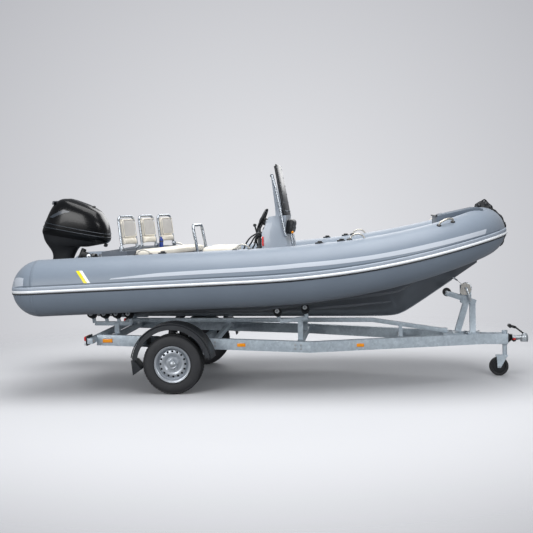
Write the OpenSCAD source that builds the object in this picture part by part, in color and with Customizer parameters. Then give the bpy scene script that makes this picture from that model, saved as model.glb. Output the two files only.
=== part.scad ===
// Rigid inflatable boat with an outboard engine, standing on its galvanised road trailer.
// Millimetres. +X runs to the bow, +Y to port, +Z up, and the ground is Z = 0.
// Lengths along X are written as stations measured from the trailer's wheel axle, bow positive.

/* [Tubes] */
// Radius of the inflated tube along the sides
tube_r = 310; // [260:5:340]
// Radius of the inflated tube at the bow
tube_bow_r = 265; // [220:5:290]
// Distance of each tube's centre line from the boat's centre plane
tube_y = 900; // [820:5:960]
// Station where the straight tube ends and the rounded stern cone begins
tube_stern_x = -1450; // [-1600:10:-1350]
// Length of the rounded stern cone
stern_cone = 310; // [200:10:400]
// Station where the tubes start to bend in to the bow
tube_bend_x = 1500; // [1200:20:1700]
// Station of the tube's centre line at the nose
tube_nose_x = 3370; // [3200:10:3500]
// Height of the tube's centre line above the ground at the wheel axle
tube_z = 1205; // [1150:5:1260]
// How far the tube's centre line rises at the bow above its straight run
bow_rise = 345; // [200:5:420]

/* [Hull] */
// Height of the keel at the transom
keel_z = 745; // [720:5:780]
// Deadrise angle of the hull bottom at the stern
deadrise = 15; // [12:1:20]
// Station of the transom's forward face
transom_x = -1120; // [-1200:10:-1050]
// Thickness of the transom
transom_t = 60; // [40:5:80]
// Height of the transom's top, where the engine hangs
transom_z = 1400; // [1340:5:1430]
// Height of the cockpit floor's upper face
deck_z = 1080; // [1040:5:1110]
// Thickness of the cockpit floor
deck_t = 30; // [20:5:40]
// Station where the raised foredeck begins
foredeck_x = 1700; // [1600:20:1750]

/* [Seats and console] */
// Height of the moulded seat tops
seat_z = 1470; // [1420:5:1500]
// Thickness of the seat cushions
cushion_t = 75; // [50:5:100]
// Distance between neighbouring backrests across the boat
seat_pitch = 480; // [460:5:520]
// How much further forward each backrest stands than its starboard neighbour
seat_stagger = 110; // [0:10:130]
// Width of a backrest frame between its leg centres
backrest_w = 360; // [300:10:400]
// Height of a backrest frame above its hinge
backrest_h = 350; // [300:10:400]
// Diameter of the stainless steel frame tube
frame_d = 28; // [20:1:34]
// Half the width of the console
console_half = 340; // [280:10:380]
// Diameter of the steering wheel
helm_d = 300; // [260:10:360]

/* [Engine] */
// Angle to which the engine is tilted up for the road
rest_tilt = 25; // [10:1:32]
// Diameter of the propeller
prop_d = 325; // [280:5:340]

/* [Trailer] */
// Outer diameter of a road tyre
tyre_d = 650; // [600:5:680]
// Width of a road tyre
tyre_w = 185; // [155:5:205]
// Distance between the two wheels' middle planes
track = 1860; // [1800:10:1960]
// Depth of a frame rail
rail_h = 118; // [90:2:130]
// Width of a frame rail
rail_w = 60; // [40:5:70]
// Distance of each frame rail from the centre plane
rail_y = 745; // [700:5:760]
// Diameter of a hull roller
roller_d = 92; // [80:2:100]
// Diameter of the jockey wheel
jockey_d = 215; // [180:5:230]
// Diameter of the tow ball that the coupling takes
ball_d = 50; // [50:0.1:50.8]

/* [Hidden] */

seat_gap = 0.3;          // between a part and the one it rests against
tube_slope = 0.03;       // rise of the straight tube per unit of length
tube_sides = 32;         // facets round the tube
bend_power = 2.3;        // how square the bow is in plan
rise_start_x = 800;      // station where the sheer starts to rise
rise_power = 2.3;
far_back_x = -2028.4;      // station of the rearmost point, the propeller's hub
far_front_x = 3890;      // station of the coupling's nose
mid_x = (far_back_x + far_front_x) / 2;

function clamp01(v) = min(1, max(0, v));

// ---- The tube's centre line ------------------------------------------------
function tube_height(x) = tube_z + tube_slope * x
    + bow_rise * pow(clamp01((x - rise_start_x) / (tube_nose_x - rise_start_x)), rise_power);
function tube_radius(x) = x < tube_stern_x
    ? tube_r * sqrt(max(0.003, 1 - pow((tube_stern_x - x) / stern_cone, 2)))
    : tube_r + (tube_bow_r - tube_r) * clamp01((x - tube_bend_x) / (tube_nose_x - tube_bend_x));
// half breadth of the tube's centre line at a station
function tube_offset(x) = x <= tube_bend_x ? tube_y
    : tube_y * pow(max(0, 1 - pow((x - tube_bend_x) / (tube_nose_x - tube_bend_x), bend_power)),
                   1 / bend_power);

cone_turns = [84, 66, 48, 32, 16];
straight_x = [tube_stern_x, -700, 100, 800, 1150, 1500];
bend_turns = [12, 22, 32, 42, 52, 61, 69, 76, 83];

// stations of the starboard side from the stern to the nose, as [x, half breadth]
function bend_point(turn) = [
    tube_bend_x + (tube_nose_x - tube_bend_x) * pow(sin(turn), 2 / bend_power),
    tube_y * pow(cos(turn), 2 / bend_power)];
half_path = concat(
    [for (a = cone_turns) [tube_stern_x - stern_cone * sin(a), tube_y]],
    [for (x = straight_x) [x, tube_y]],
    [for (a = bend_turns) bend_point(a)]);
half_n = len(half_path);
// the whole centre line: starboard stern, nose, port stern
whole_path = concat(
    [for (p = half_path) [p[0], -p[1]]],
    [[tube_nose_x, 0]],
    [for (i = [half_n - 1 : -1 : 0]) [half_path[i][0], half_path[i][1]]]);
path_n = len(whole_path);

function along(i) = let (a = whole_path[max(0, i - 1)], b = whole_path[min(path_n - 1, i + 1)],
                         d = b - a) d / norm(d);
// outward normal in plan
function outward(i) = let (d = along(i)) [d[1], -d[0]];
// a point at distance out and height up from the tube's centre at path point i
function from_centre(i, out, up) = let (p = whole_path[i], n = outward(i))
    [p[0] + n[0] * out, p[1] + n[1] * out, tube_height(p[0]) + up];
function tube_ring(i, grow) = let (r = tube_radius(whole_path[i][0]) + grow)
    [for (s = [0 : tube_sides - 1]) let (a = s * 360 / tube_sides)
        from_centre(i, r * cos(a), r * sin(a))];

// ---- Building helpers ------------------------------------------------------
// moves stations to the part's own frame
module placed() translate([-mid_x, 0, 0]) children();

// closed skin over rings that hold the same number of points
module skin(rings, flip = false) {
    n = len(rings[0]);
    m = len(rings);
    points = [for (r = rings) each r];
    sides = [for (i = [0 : m - 2], j = [0 : n - 1]) let (k = (j + 1) % n, a = i * n)
        each [[a + j, a + k, a + n + j], [a + k, a + n + k, a + n + j]]];
    caps = [[for (j = [n - 1 : -1 : 0]) j], [for (j = [0 : n - 1]) (m - 1) * n + j]];
    all_faces = concat(sides, caps);
    turned = [for (f = all_faces) [for (k = [len(f) - 1 : -1 : 0]) f[k]]];
    polyhedron(points, flip ? turned : all_faces, convexity = 8);
}

module beam(p, q, w, h) {
    d = q - p;
    translate(p) rotate([0, -asin(d[2] / norm(d)), atan2(d[1], d[0])])
        translate([0, -w / 2, -h / 2]) cube([norm(d), w, h]);
}

module rod(p, q, d, fn = 32) {
    v = q - p;
    translate(p) rotate([0, acos(v[2] / norm(v)), atan2(v[1], v[0])])
        cylinder(h = norm(v), d = d, $fn = fn);
}

// pin across the boat, centred at p
module cross_pin(p, d, length) translate(p) rotate([90, 0, 0])
    cylinder(h = length, d = d, center = true, $fn = 48);

module both_sides() {
    children();
    mirror([0, 1, 0]) children();
}

module collar_shape(grow) skin([for (i = [0 : path_n - 1]) tube_ring(i, grow)]);

// block of a plan outline between two heights, trimmed where the tubes are
module between_tubes(outline, z0, z1) difference() {
    translate([0, 0, z0]) linear_extrude(z1 - z0) polygon(outline);
    collar_shape(seat_gap);
}

// ---- Hull ------------------------------------------------------------------
// stations of the hull rollers at the stern and amidships
stern_rollers = [-1040, -890, -750, -610];
mid_rollers = [1090, 1400];
stem_x = 2450;           // station where the keel turns up into the stem
stem_round = 90;
stem_slope = 0.69;
function keel_height(x) = keel_z - 0.0138 * (x - transom_x)
    + stem_slope * (sqrt(pow(x - stem_x, 2) + pow(stem_round, 2)) + x - stem_x) / 2;
function hull_deadrise(x) = deadrise + 29 * pow(clamp01((x - 900) / 2300), 0.9);
function chine_y(x) = max(14, tube_offset(x) - 0.78 * tube_radius(x));
function chine_z(x) = keel_height(x) + chine_y(x) * tan(hull_deadrise(x));
function hull_top(x) = x < foredeck_x ? deck_z - deck_t : tube_height(x) - 40;
hull_x = [transom_x, 0, 900, mid_rollers[0], mid_rollers[1], 1500, foredeck_x - 1, foredeck_x,
    1900, 2150, 2350, 2500, 2700, 2900, 3080, 3230, 3330];
function hull_ring(x) = let (k = keel_height(x), c = chine_y(x), z = chine_z(x),
                             top = max(hull_top(x), z + 8))
    [[x, 0, k], [x, c, z], [x, c + 60, top], [x, -c - 60, top], [x, -c, z]];

module hull() placed() color("#6d7074") difference() {
    skin([for (x = hull_x) hull_ring(x)], true);
    collar_shape(seat_gap);
}

module deck() placed() color("#a9acae") {
    side = tube_y - 80;
    between_tubes([[transom_x + seat_gap, -side], [foredeck_x - 1 - seat_gap, -side],
                   [foredeck_x - 1 - seat_gap, side], [transom_x + seat_gap, side]],
                  deck_z - deck_t + seat_gap, deck_z);
}

transom_aft = transom_x - transom_t;
well_half = 330;         // half width of the cut-down top that the engine stands on
module transom() placed() color("#5f6266") difference() {
    side = tube_y - 60;
    k = keel_z + 3;
    translate([transom_x - seat_gap, 0, 0]) rotate([90, 0, -90]) linear_extrude(transom_t)
        polygon([[0, k], [side, k + side * tan(deadrise)], [side, transom_z + 60],
                 [well_half + 60, transom_z + 60], [well_half, transom_z],
                 [-well_half, transom_z], [-well_half - 60, transom_z + 60], [-side, transom_z + 60],
                 [-side, k + side * tan(deadrise)]]);
    collar_shape(seat_gap);
}

module tube_collar() placed() color("#7b7f84") collar_shape(0);

// ---- Rub rail and bow ------------------------------------------------------
// rail section as [depth, height], from the tube outwards
rail_section = [[0, -34], [14, -34], [26, -26], [26, -8], [18, -3], [18, 3], [26, 8], [26, 26],
                [14, 34], [0, 34]];
module rub_rail() placed() color("#c9cbcd") skin([for (i = [0 : path_n - 1])
    [for (s = rail_section)
        from_centre(i, tube_radius(whole_path[i][0]) + seat_gap + s[0], s[1])]]);

step_back_x = 2840;      // aft edge of the moulded step on the bow
step_front_x = 3360;
step_half = 370;
step_rise = 65;          // how far its aft edge stands above the tube's crown
function tube_top(x) = tube_height(x) + tube_radius(x);
module bow_step() placed() color("#5a5d61") difference() {
    rotate([90, 0, 0]) linear_extrude(2 * step_half, center = true)
        polygon([[step_back_x, tube_height(step_back_x)],
                 [step_back_x + 25, tube_top(step_back_x) + step_rise],
                 [step_front_x - 60, tube_top(step_front_x) + 8],
                 [step_front_x, tube_top(step_front_x) - 12],
                 [step_front_x, tube_height(step_front_x) + 60]]);
    collar_shape(seat_gap);
}

fitting_x = 3400;
fitting_w = 150;
module bow_fitting() placed() color("#1b1c1e") difference() {
    z = tube_top(fitting_x);
    union() {
        translate([fitting_x - 30, -fitting_w / 2, z - 60]) cube([150, fitting_w, 74]);
        for (s = [-1, 1]) translate([fitting_x - 20, s * (fitting_w / 2 - 9), z + 30])
            rotate([90, 0, 0]) cylinder(h = 14, d = 70, center = true, $fn = 48);
        cross_pin([fitting_x - 20, 0, z + 36], 30, fitting_w - 10);
    }
    collar_shape(seat_gap);
    translate([0, 0, -0.01]) rotate([90, 0, 0]) linear_extrude(4 * step_half, center = true)
        polygon([[step_front_x + seat_gap, 0], [step_front_x + seat_gap, 4 * z],
                 [step_back_x, 4 * z], [step_back_x, 0]]);
}

handle_x = [-300, 780, 2000];
handle_span = 85;        // radius of a handle's hoop
handle_d = 22;
module grab_handles() placed() color("#2a2b2e") difference() {
    both_sides() for (x = handle_x)
        translate([x, tube_offset(x), tube_top(x) - handle_span + 52]) rotate([90, 0, 0])
            rotate_extrude(angle = 180, $fn = 64)
                translate([handle_span, 0]) circle(d = handle_d, $fn = 24);
    collar_shape(seat_gap);
}

// ---- Seats -----------------------------------------------------------------
bench_back_x = -800;
backrest_x = -450;       // hinge line of the middle backrest
bench_front_x = -20;     // front edge of the bench at the centre plane
box_depth = 110;         // how far the raised backrest plinth runs ahead of the hinges
plinth_z = seat_z + 68;
hinge_z = plinth_z + 32;
seat_side = 770;
seat_skew = seat_stagger / seat_pitch;
function skewed(x, y) = [x + y * seat_skew, y];

function seat_outline(back, front) = [skewed(back, -seat_side), skewed(front, -seat_side),
    skewed(front, seat_side), skewed(back, seat_side)];
module bench_block(front, z0, z1) translate([0, 0, z0]) linear_extrude(z1 - z0)
    polygon([[bench_back_x, -seat_side], skewed(front, -seat_side), skewed(front, seat_side),
             [bench_back_x, seat_side]]);
module stern_bench() placed() color("#56595d") difference() {
    union() {
        bench_block(bench_front_x, deck_z + seat_gap, seat_z);
        bench_block(backrest_x + box_depth, seat_z - 1, plinth_z);
    }
    collar_shape(seat_gap);
}

helm_seat_x = 150;
helm_seat_l = 480;
helm_seat_half = 340;
module helm_seat() placed() color("#c7c9ca")
    translate([helm_seat_x, -helm_seat_half, deck_z + seat_gap])
        cube([helm_seat_l, 2 * helm_seat_half, seat_z - deck_z]);

bow_pad_stations = [foredeck_x + 60, 1900, 2150, 2350, 2500, 2700];
module cushions() placed() color("#e9e4d6") {
    translate([helm_seat_x + 70, -helm_seat_half + 10, seat_z + 2 * seat_gap])
        cube([helm_seat_l - 80, 2 * helm_seat_half - 20, cushion_t]);
    difference() {
        translate([0, 0, seat_z + seat_gap]) linear_extrude(cushion_t - seat_gap)
            polygon(seat_outline(backrest_x + box_depth + 2, bench_front_x - 10));
        collar_shape(2);
    }
    difference() {
        rotate([90, 0, 0]) linear_extrude(2 * tube_y - 160, center = true)
            polygon(concat([for (x = bow_pad_stations) [x, hull_top(x) + 1]],
                           [for (i = [len(bow_pad_stations) - 1 : -1 : 0]) let (x = bow_pad_stations[i])
                               [x, hull_top(x) + cushion_t]]));
        collar_shape(2);
    }
}

hinge_pin_d = 12;
bearing_gap = 0.1;       // radial running clearance at every pin
boss_l = 30;
lug_t = 12;
seat_turn = atan(seat_stagger / seat_pitch);   // the row is turned as the slanted bench is
function hinge_at(i) = [backrest_x + i * seat_stagger, i * seat_pitch, hinge_z];
module seat_brackets() placed() color("#b9bbbd")
    for (i = [-1, 0, 1], s = [-1, 1]) translate(hinge_at(i)) rotate([0, 0, -seat_turn]) {
        edge = backrest_w / 2 + boss_l / 2 + 2;
        translate([-20, s > 0 ? edge : -edge - lug_t, plinth_z - hinge_z + seat_gap])
            cube([40, lug_t, hinge_z - plinth_z + 18]);
        cross_pin([0, s * (edge - boss_l / 2), 0], hinge_pin_d, boss_l + 6);
    }

lean = 6;                // how far the upright backrests lean aft
corner_r = 60;
module backrest_frame(i) placed() translate(hinge_at(i)) rotate([0, -lean, -seat_turn])
    color("#d8dadc") difference() {
        union() {
            for (s = [-1, 1]) {
                translate([0, s * backrest_w / 2, 0])
                    cylinder(h = backrest_h - corner_r, d = frame_d, $fn = 32);
                cross_pin([0, s * backrest_w / 2, 0], 34, boss_l);
                translate([0, s * (backrest_w / 2 - corner_r), backrest_h - corner_r])
                    rotate([90, 0, s > 0 ? 90 : -90]) rotate_extrude(angle = 90, $fn = 48)
                        translate([corner_r, 0]) circle(d = frame_d, $fn = 32);
            }
            cross_pin([0, 0, backrest_h], frame_d, backrest_w - 2 * corner_r);
        }
        cross_pin([0, 0, 0], hinge_pin_d + 2 * bearing_gap, 2 * backrest_w);
    }

pad_t = 60;
pad_low = 105;
module backrest_pad(i) placed() translate(hinge_at(i)) rotate([0, -lean, -seat_turn]) color("#8f9295") {
    half = backrest_w / 2 - frame_d / 2 - seat_gap;
    shoulder = backrest_h - corner_r;
    top = backrest_h - frame_d / 2 - seat_gap;
    rotate([90, 0, 90]) linear_extrude(pad_t, center = true)
        polygon([[-half, pad_low], [half, pad_low], [half, shoulder], [backrest_w / 2 - corner_r, top],
                 [corner_r - backrest_w / 2, top], [-half, shoulder]]);
}
module backrest_frame_starboard() backrest_frame(-1);
module backrest_frame_centre() backrest_frame(0);
module backrest_frame_port() backrest_frame(1);
module backrest_pad_starboard() backrest_pad(-1);
module backrest_pad_centre() backrest_pad(0);
module backrest_pad_port() backrest_pad(1);

rail_foot_x = helm_seat_x + 35;
rail_top_z = 1800;
rail_half = helm_seat_half - 60;
rail_d = 34;
rail_corner = 70;
module helm_rail() placed() color("#d8dadc")
    translate([rail_foot_x, 0, seat_z + 2 * seat_gap]) rotate([0, -10, 0]) difference() {
        h = rail_top_z - seat_z;
        union() {
            for (s = [-1, 1]) {
                translate([0, s * rail_half, -20]) cylinder(h = h - rail_corner + 20, d = rail_d, $fn = 32);
                translate([0, s * (rail_half - rail_corner), h - rail_corner])
                    rotate([90, 0, s > 0 ? 90 : -90]) rotate_extrude(angle = 90, $fn = 48)
                        translate([rail_corner, 0]) circle(d = rail_d, $fn = 32);
            }
            cross_pin([0, 0, h], rail_d, 2 * (rail_half - rail_corner));
        }
        rotate([0, 10, 0]) translate([-100, -500, -100]) cube([200, 1000, 100]);
    }

module water_canister() placed() color("#2257a8")
    translate([-360, seat_pitch / 2, plinth_z + seat_gap]) {
        cylinder(h = 100, d = 48, $fn = 48);
        translate([0, 0, 99]) cylinder(h = 22, d = 26, $fn = 32);
    }

// ---- Console ---------------------------------------------------------------
helm_lean = 25;          // how far the steering wheel's axis tips up
face_foot = [925, 1690]; // lower edge of the face that carries the steering wheel
face_l = 200;
column_base = 115;       // the column's centre measured up that face
column_l = 85;
face_dir = [sin(helm_lean), cos(helm_lean)];
face_top = face_foot + face_dir * face_l;
console_top = 1884;      // where the screen stands
screen_head = [1105, 2460];
screen_t = 12;
// console side outline's front edge at a height
function console_front(z) = z > 1700 ? 1205 - 25 * (console_top - z) / (console_top - 1700)
    : 1180 + 110 * (1700 - z) / (1700 - deck_z);

module console() placed() color("#aeb1b4") {
    rotate([90, 0, 0]) linear_extrude(2 * console_half, center = true)
        polygon([[905, deck_z + seat_gap], face_foot, face_top, [1085, console_top], [1205, console_top],
                 [console_front(1700), 1700], [console_front(deck_z), deck_z + seat_gap]]);
    both_sides() translate([0, console_half - 30, 0]) rotate([90, 0, 0]) linear_extrude(30)
        polygon([[1085, console_top - 20], [1080, 1980], [1045, 2310], [1065, 2315], [1130, 1990],
                 [1160, console_top - 20]]);
}

module windscreen() placed() color("#17181a") rotate([90, 0, 0])
    linear_extrude(2 * console_half - 60 - 2 * seat_gap, center = true)
        polygon([[1203, console_top + seat_gap], screen_head, screen_head - [screen_t, 2],
                 [1164, console_top + seat_gap]]);

bolster_z = [1665, 1845];
bolster_t = 90;
module console_bolster() placed() color("#222326") {
    rotate([90, 0, 0]) linear_extrude(440, center = true)
        polygon([[console_front(bolster_z[0]) + seat_gap, bolster_z[0]],
                 [console_front(1700) + seat_gap, 1700],
                 [console_front(bolster_z[1]) + seat_gap, bolster_z[1]],
                 [console_front(1700) + bolster_t - 15, bolster_z[1]],
                 [console_front(1700) + bolster_t, bolster_z[0]]]);
    for (s = [-1, 1])
        rod([console_front(1700) + 55, s * 150, bolster_z[0] + 5], [1262, s * 150, 1420], 24);
}

column_foot = [face_foot[0] + face_dir[0] * column_base, 0, face_foot[1] + face_dir[1] * column_base];
column_dir = [-cos(helm_lean), 0, sin(helm_lean)];
wheel_hub = column_foot + column_dir * column_l;
module along_column(distance) translate(column_foot + column_dir * distance)
    rotate([0, helm_lean - 90, 0]) children();
shaft_d = 20;
module helm_column() placed() color("#1c1d1f") {
    along_column(seat_gap) cylinder(h = column_l - 26, d = 86, $fn = 48);
    along_column(column_l - 27) cylinder(h = 36, d = shaft_d, $fn = 32);
}
module steering_wheel() placed() color("#1c1d1f") along_column(column_l) difference() {
    union() {
        rotate_extrude($fn = 96) translate([helm_d / 2 - 14, 0]) circle(d = 28, $fn = 32);
        translate([0, 0, -20]) cylinder(h = 40, d = 74, $fn = 48);
        for (a = [60, 180, 300]) rotate([0, 0, a]) translate([20, -17, -6])
            cube([helm_d / 2 - 36, 34, 12]);
    }
    translate([0, 0, -30]) cylinder(h = 40, d = shaft_d + 2 * bearing_gap, $fn = 32);
}

module throttle_box() placed() color("#1c1d1f") {
    translate([face_foot[0] - 58.5, -240, face_foot[1] - 190]) cube([52, 60, 130]);
    translate([face_foot[0] - 50, -222, face_foot[1] - 62]) cube([26, 24, 120]);
}

// ---- Engine ----------------------------------------------------------------
tilt_at = [transom_x - transom_t / 2, 0, transom_z + 58];
steer_x = -118;          // steering axis behind the tilt pin, in the upright engine
tilt_pin_d = 22;
cheek_y = 90;            // inner face of each clamp cheek
cheek_t = 22;
module engine_frame() placed() translate(tilt_at) rotate([0, rest_tilt, 0]) children();

module engine_bracket() placed() color("#222326") {
    both_sides() translate([0, cheek_y + cheek_t, 0]) rotate([90, 0, 0]) linear_extrude(cheek_t)
        polygon([[transom_aft - 1, transom_z - 300], [transom_aft - 1, transom_z + 1],
                 [transom_x + 1, transom_z + 1], [transom_x + 1, transom_z - 90],
                 [transom_x + 24, transom_z - 90], [transom_x + 24, transom_z + 24],
                 [tilt_at[0] + 32, tilt_at[2] + 22], [tilt_at[0] - 20, tilt_at[2] + 28],
                 [transom_aft - 38, transom_z + 30], [transom_aft - 38, transom_z - 250],
                 [transom_aft - 20, transom_z - 300]]);
    cross_pin(tilt_at, tilt_pin_d, 2 * cheek_y + 2 * cheek_t + 24);
}

barrel_half = cheek_y - 5;
swivel_d = 60;
swivel_low = -340;
swivel_high = 40;
stem_d = 30;             // steering shaft inside the swivel tube
module engine_swivel() engine_frame() color("#222326") difference() {
    union() {
        cross_pin([0, 0, 0], 46, 2 * barrel_half);
        translate([steer_x, -40, -45]) cube([-steer_x, 80, 60]);
        translate([steer_x, 0, swivel_low]) cylinder(h = swivel_high - swivel_low, d = swivel_d, $fn = 48);
    }
    cross_pin([0, 0, 0], tilt_pin_d + 2 * bearing_gap, 3 * barrel_half);
    translate([steer_x, 0, swivel_low - 20])
        cylinder(h = swivel_high - swivel_low + 40, d = stem_d + 2 * bearing_gap, $fn = 48);
}

// rounded section of a cowl between a rear and a front station; the section's plane may slope
cowl_power = 3.2;
cowl_sides = 28;
function sgn_pow(v, e) = sign(v) * pow(abs(v), e);
// row: [height at the rear, height at the front, rear station, front station, half width]
function cowl_ring(row) = [for (k = [0 : cowl_sides - 1])
    let (a = k * 360 / cowl_sides, u = sgn_pow(cos(a), 2 / cowl_power), v = sgn_pow(sin(a), 2 / cowl_power))
    [(row[2] + row[3]) / 2 + (row[3] - row[2]) / 2 * u, row[4] * v,
     (row[0] + row[1]) / 2 + (row[1] - row[0]) / 2 * u]];
module cowl_skin(rows) skin([for (r = rows) cowl_ring(r)], true);

upper_rows = [[22, 214, -645, 112, 172], [60, 262, -656, 124, 196], [180, 345, -658, 88, 206],
              [310, 425, -652, 30, 206], [405, 484, -632, -40, 192], [480, 524, -584, -100, 160],
              [525, 545, -500, -200, 96]];
module engine_cowl() engine_frame() color("#101113") cowl_skin(upper_rows);

lower_rows = [[-600, -600, -385, -205, 34], [-300, -300, -405, -190, 58], [-160, 20, -440, -186, 92],
              [-60, 92, -575, -72, 140], [20, 212, -643, 108, 168]];
gear_z = -740;
gear_d = 108;
prop_x = -545;
prop_shaft_d = 20;
module engine_leg() engine_frame() color("#17181a") {
    cowl_skin(lower_rows);
    translate([steer_x, 0, swivel_low - 32]) cylinder(h = 32 - 2, d = swivel_d - 10, $fn = 48);
    translate([steer_x, 0, swivel_low - 20]) cylinder(h = swivel_high - swivel_low + 70, d = stem_d, $fn = 48);
    translate([-260, -28, swivel_low - 32]) cube([260 + steer_x, 56, 28]);
    // ventilation plate, strut, gearcase and skeg
    translate([-540, -95, gear_z + prop_d / 2 + 10]) cube([345, 190, 12]);
    translate([-360, -22, gear_z]) cube([150, 44, prop_d / 2 + 14]);
    translate([-480, 0, gear_z]) rotate([0, 90, 0]) cylinder(h = 300, d = gear_d, $fn = 48);
    translate([-180.5, 0, gear_z]) rotate([0, 90, 0]) cylinder(h = 70, d1 = gear_d - 2, d2 = 40, $fn = 48);
    rotate([90, 0, 0]) linear_extrude(12, center = true)
        polygon([[-430, gear_z - 30], [-425, gear_z - 175], [-370, gear_z - 185], [-240, gear_z - 30]]);
    translate([-600, 0, gear_z]) rotate([0, 90, 0]) cylinder(h = 130, d = prop_shaft_d, $fn = 32);
}

module propeller() engine_frame() color("#17181a") translate([prop_x, 0, gear_z]) {
    difference() {
        translate([-52, 0, 0]) rotate([0, 90, 0]) cylinder(h = 110, d = 100, $fn = 48);
        translate([-60, 0, 0]) rotate([0, 90, 0])
            cylinder(h = 130, d = prop_shaft_d + 2 * bearing_gap, $fn = 32);
    }
    for (a = [0, 120, 240]) rotate([a, 0, 0]) rotate([0, 0, 28])
        difference() {
            translate([-4, -62, 47]) cube([8, 124, prop_d / 2 - 47]);
            for (s = [-1, 1]) translate([-10, s * 100, prop_d / 2 + 10]) rotate([0, 90, 0])
                cylinder(h = 20, r = 75, $fn = 48);
        }
}

// ---- Trailer frame ---------------------------------------------------------
tail_x = -890;
bend_x = 1470;           // station where the side rails turn in to the drawbar
nose_x = 3660;
meet_x = 3420;           // station where the rails meet
tail_z = 565;
bend_z = 460;
nose_z = 425;
wheel_z = tyre_d / 2;
function rail_z(x) = x < bend_x ? tail_z + (bend_z - tail_z) * (x - tail_x) / (bend_x - tail_x)
    : bend_z + (nose_z - bend_z) * (x - bend_x) / (nose_x - bend_x);
meet_y = rail_w / 2;
jockey_x = 3630;
jockey_od = 60;
module frame_rails() placed() color("#a9adb1") {
    both_sides() {
        beam([tail_x, rail_y, tail_z], [bend_x + 8, rail_y, rail_z(bend_x)], rail_w, rail_h);
        beam([bend_x - 8, rail_y, bend_z], [meet_x, meet_y, rail_z(meet_x)], rail_w, rail_h);
    }
    difference() {
        beam([meet_x - 60, 0, rail_z(meet_x)], [nose_x, 0, nose_z], 130, rail_h);
        translate([jockey_x, 0, 0]) cylinder(h = 1000, d = jockey_od + 2 * seat_gap, $fn = 48);
    }
}

cradle_x = -760;
tail_gap = 1.2;           // clears the slanted ends of the rails
mid_cradle_x = 1340;
cross_w = 60;
cross_h = 60;
strut_x = 400;
front_cross_x = 2460;
function rail_inner_y(x) = x < bend_x ? rail_y - rail_w / 2
    : rail_y + (meet_y - rail_y) * (x - bend_x) / (meet_x - bend_x) - rail_w / 2 - 3.6;
flange_t = 8;
strut_top_z = 622;
module cross_members() placed() color("#a2a6aa") {
    translate([tail_x - tail_gap - cross_w, -930, tail_z - cross_h / 2 + 10]) cube([cross_w, 1860, cross_h]);
    for (x = [cradle_x, mid_cradle_x])
        translate([x - cross_w / 2, -rail_inner_y(x) + seat_gap, rail_z(x) - cross_h / 2])
            cube([cross_w, 2 * rail_inner_y(x) - 2 * seat_gap, cross_h]);
    both_sides() {
        translate([strut_x - 35, rail_inner_y(strut_x) - flange_t - seat_gap, rail_z(strut_x) - 40])
            cube([70, flange_t, 80]);
        beam([strut_x, rail_inner_y(strut_x) - flange_t, rail_z(strut_x)], [strut_x + 70, 0, strut_top_z],
             50, 46);
    }
    translate([strut_x + 45, -25, strut_top_z])
        cube([50, 50, keel_beam_z(strut_x + 95) - keel_beam_h / 2 - strut_top_z - seat_gap]);
    translate([front_cross_x - 25, -rail_inner_y(front_cross_x + 25) + seat_gap, rail_z(front_cross_x) - 25])
        cube([50, 2 * (rail_inner_y(front_cross_x + 25) - seat_gap), 50]);
    for (s = [-1, 1]) translate([front_cross_x - 20, s * (keel_beam_w / 2 + 5 + seat_gap) - 5,
                                 rail_z(front_cross_x) + 20])
        cube([40, 10, 160]);
    translate([keel_front_x - 60, -rail_inner_y(keel_front_x) - 20, rail_z(keel_front_x - 60) + rail_h / 2 + 2.5 * seat_gap])
        cube([120, 2 * rail_inner_y(keel_front_x) + 40, flange_t]);
}

keel_beam_w = 60;
keel_beam_h = 46;
keel_lift = 26;          // gap between the keel and the beam, filled by the keel rests
function keel_beam_z(x) = keel_height(x) - keel_lift - keel_beam_h / 2;
keel_knee_x = 2140;
keel_back_x = -700;
keel_front_x = 2990;
// upper face of the beam's straight rear part
function keel_beam_top(x) = let (a = keel_beam_z(keel_back_x), b = keel_beam_z(keel_knee_x))
    a + (b - a) * (x - keel_back_x) / (keel_knee_x - keel_back_x) + keel_beam_h / 2;
function keel_end_z() = rail_z(keel_front_x - 60) + rail_h / 2 + flange_t + keel_beam_h / 2 + 3.5 * seat_gap;
module keel_beam() placed() color("#a9adb1") rotate([90, 0, 0])
    linear_extrude(keel_beam_w, center = true) {
        h = keel_beam_h / 2;
        polygon([[keel_back_x, keel_beam_z(keel_back_x) - h], [keel_knee_x, keel_beam_z(keel_knee_x) - h],
                 [keel_front_x - 60, keel_end_z() - h], [keel_front_x, keel_end_z() - h],
                 [keel_front_x, keel_end_z() + h], [keel_front_x - 60, keel_end_z() + h],
                 [keel_knee_x, keel_beam_z(keel_knee_x) + h], [keel_back_x, keel_beam_z(keel_back_x) + h]]);
    }

axle_x = 150;
axle_h = 80;
stub_d = 60;
arm_y = rail_y + rail_w / 2 + 14;
module axle() placed() color("#8d9195") {
    z = rail_z(axle_x + axle_h / 2) - rail_h / 2 - axle_h - 2 * seat_gap;
    translate([axle_x - axle_h / 2, -arm_y, z]) cube([axle_h, 2 * arm_y, axle_h]);
    both_sides() {
        beam([axle_x + 10, arm_y + 6, z + axle_h / 2], [-20, arm_y + 6, wheel_z], 24, 70);
        cross_pin([0, arm_y + (track / 2 + 24 - arm_y) / 2, wheel_z], stub_d, track / 2 + 24 - arm_y + 10);
    }
}

// ---- Wheels ----------------------------------------------------------------
rim_r = 195;             // radius of the rim's flange
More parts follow.
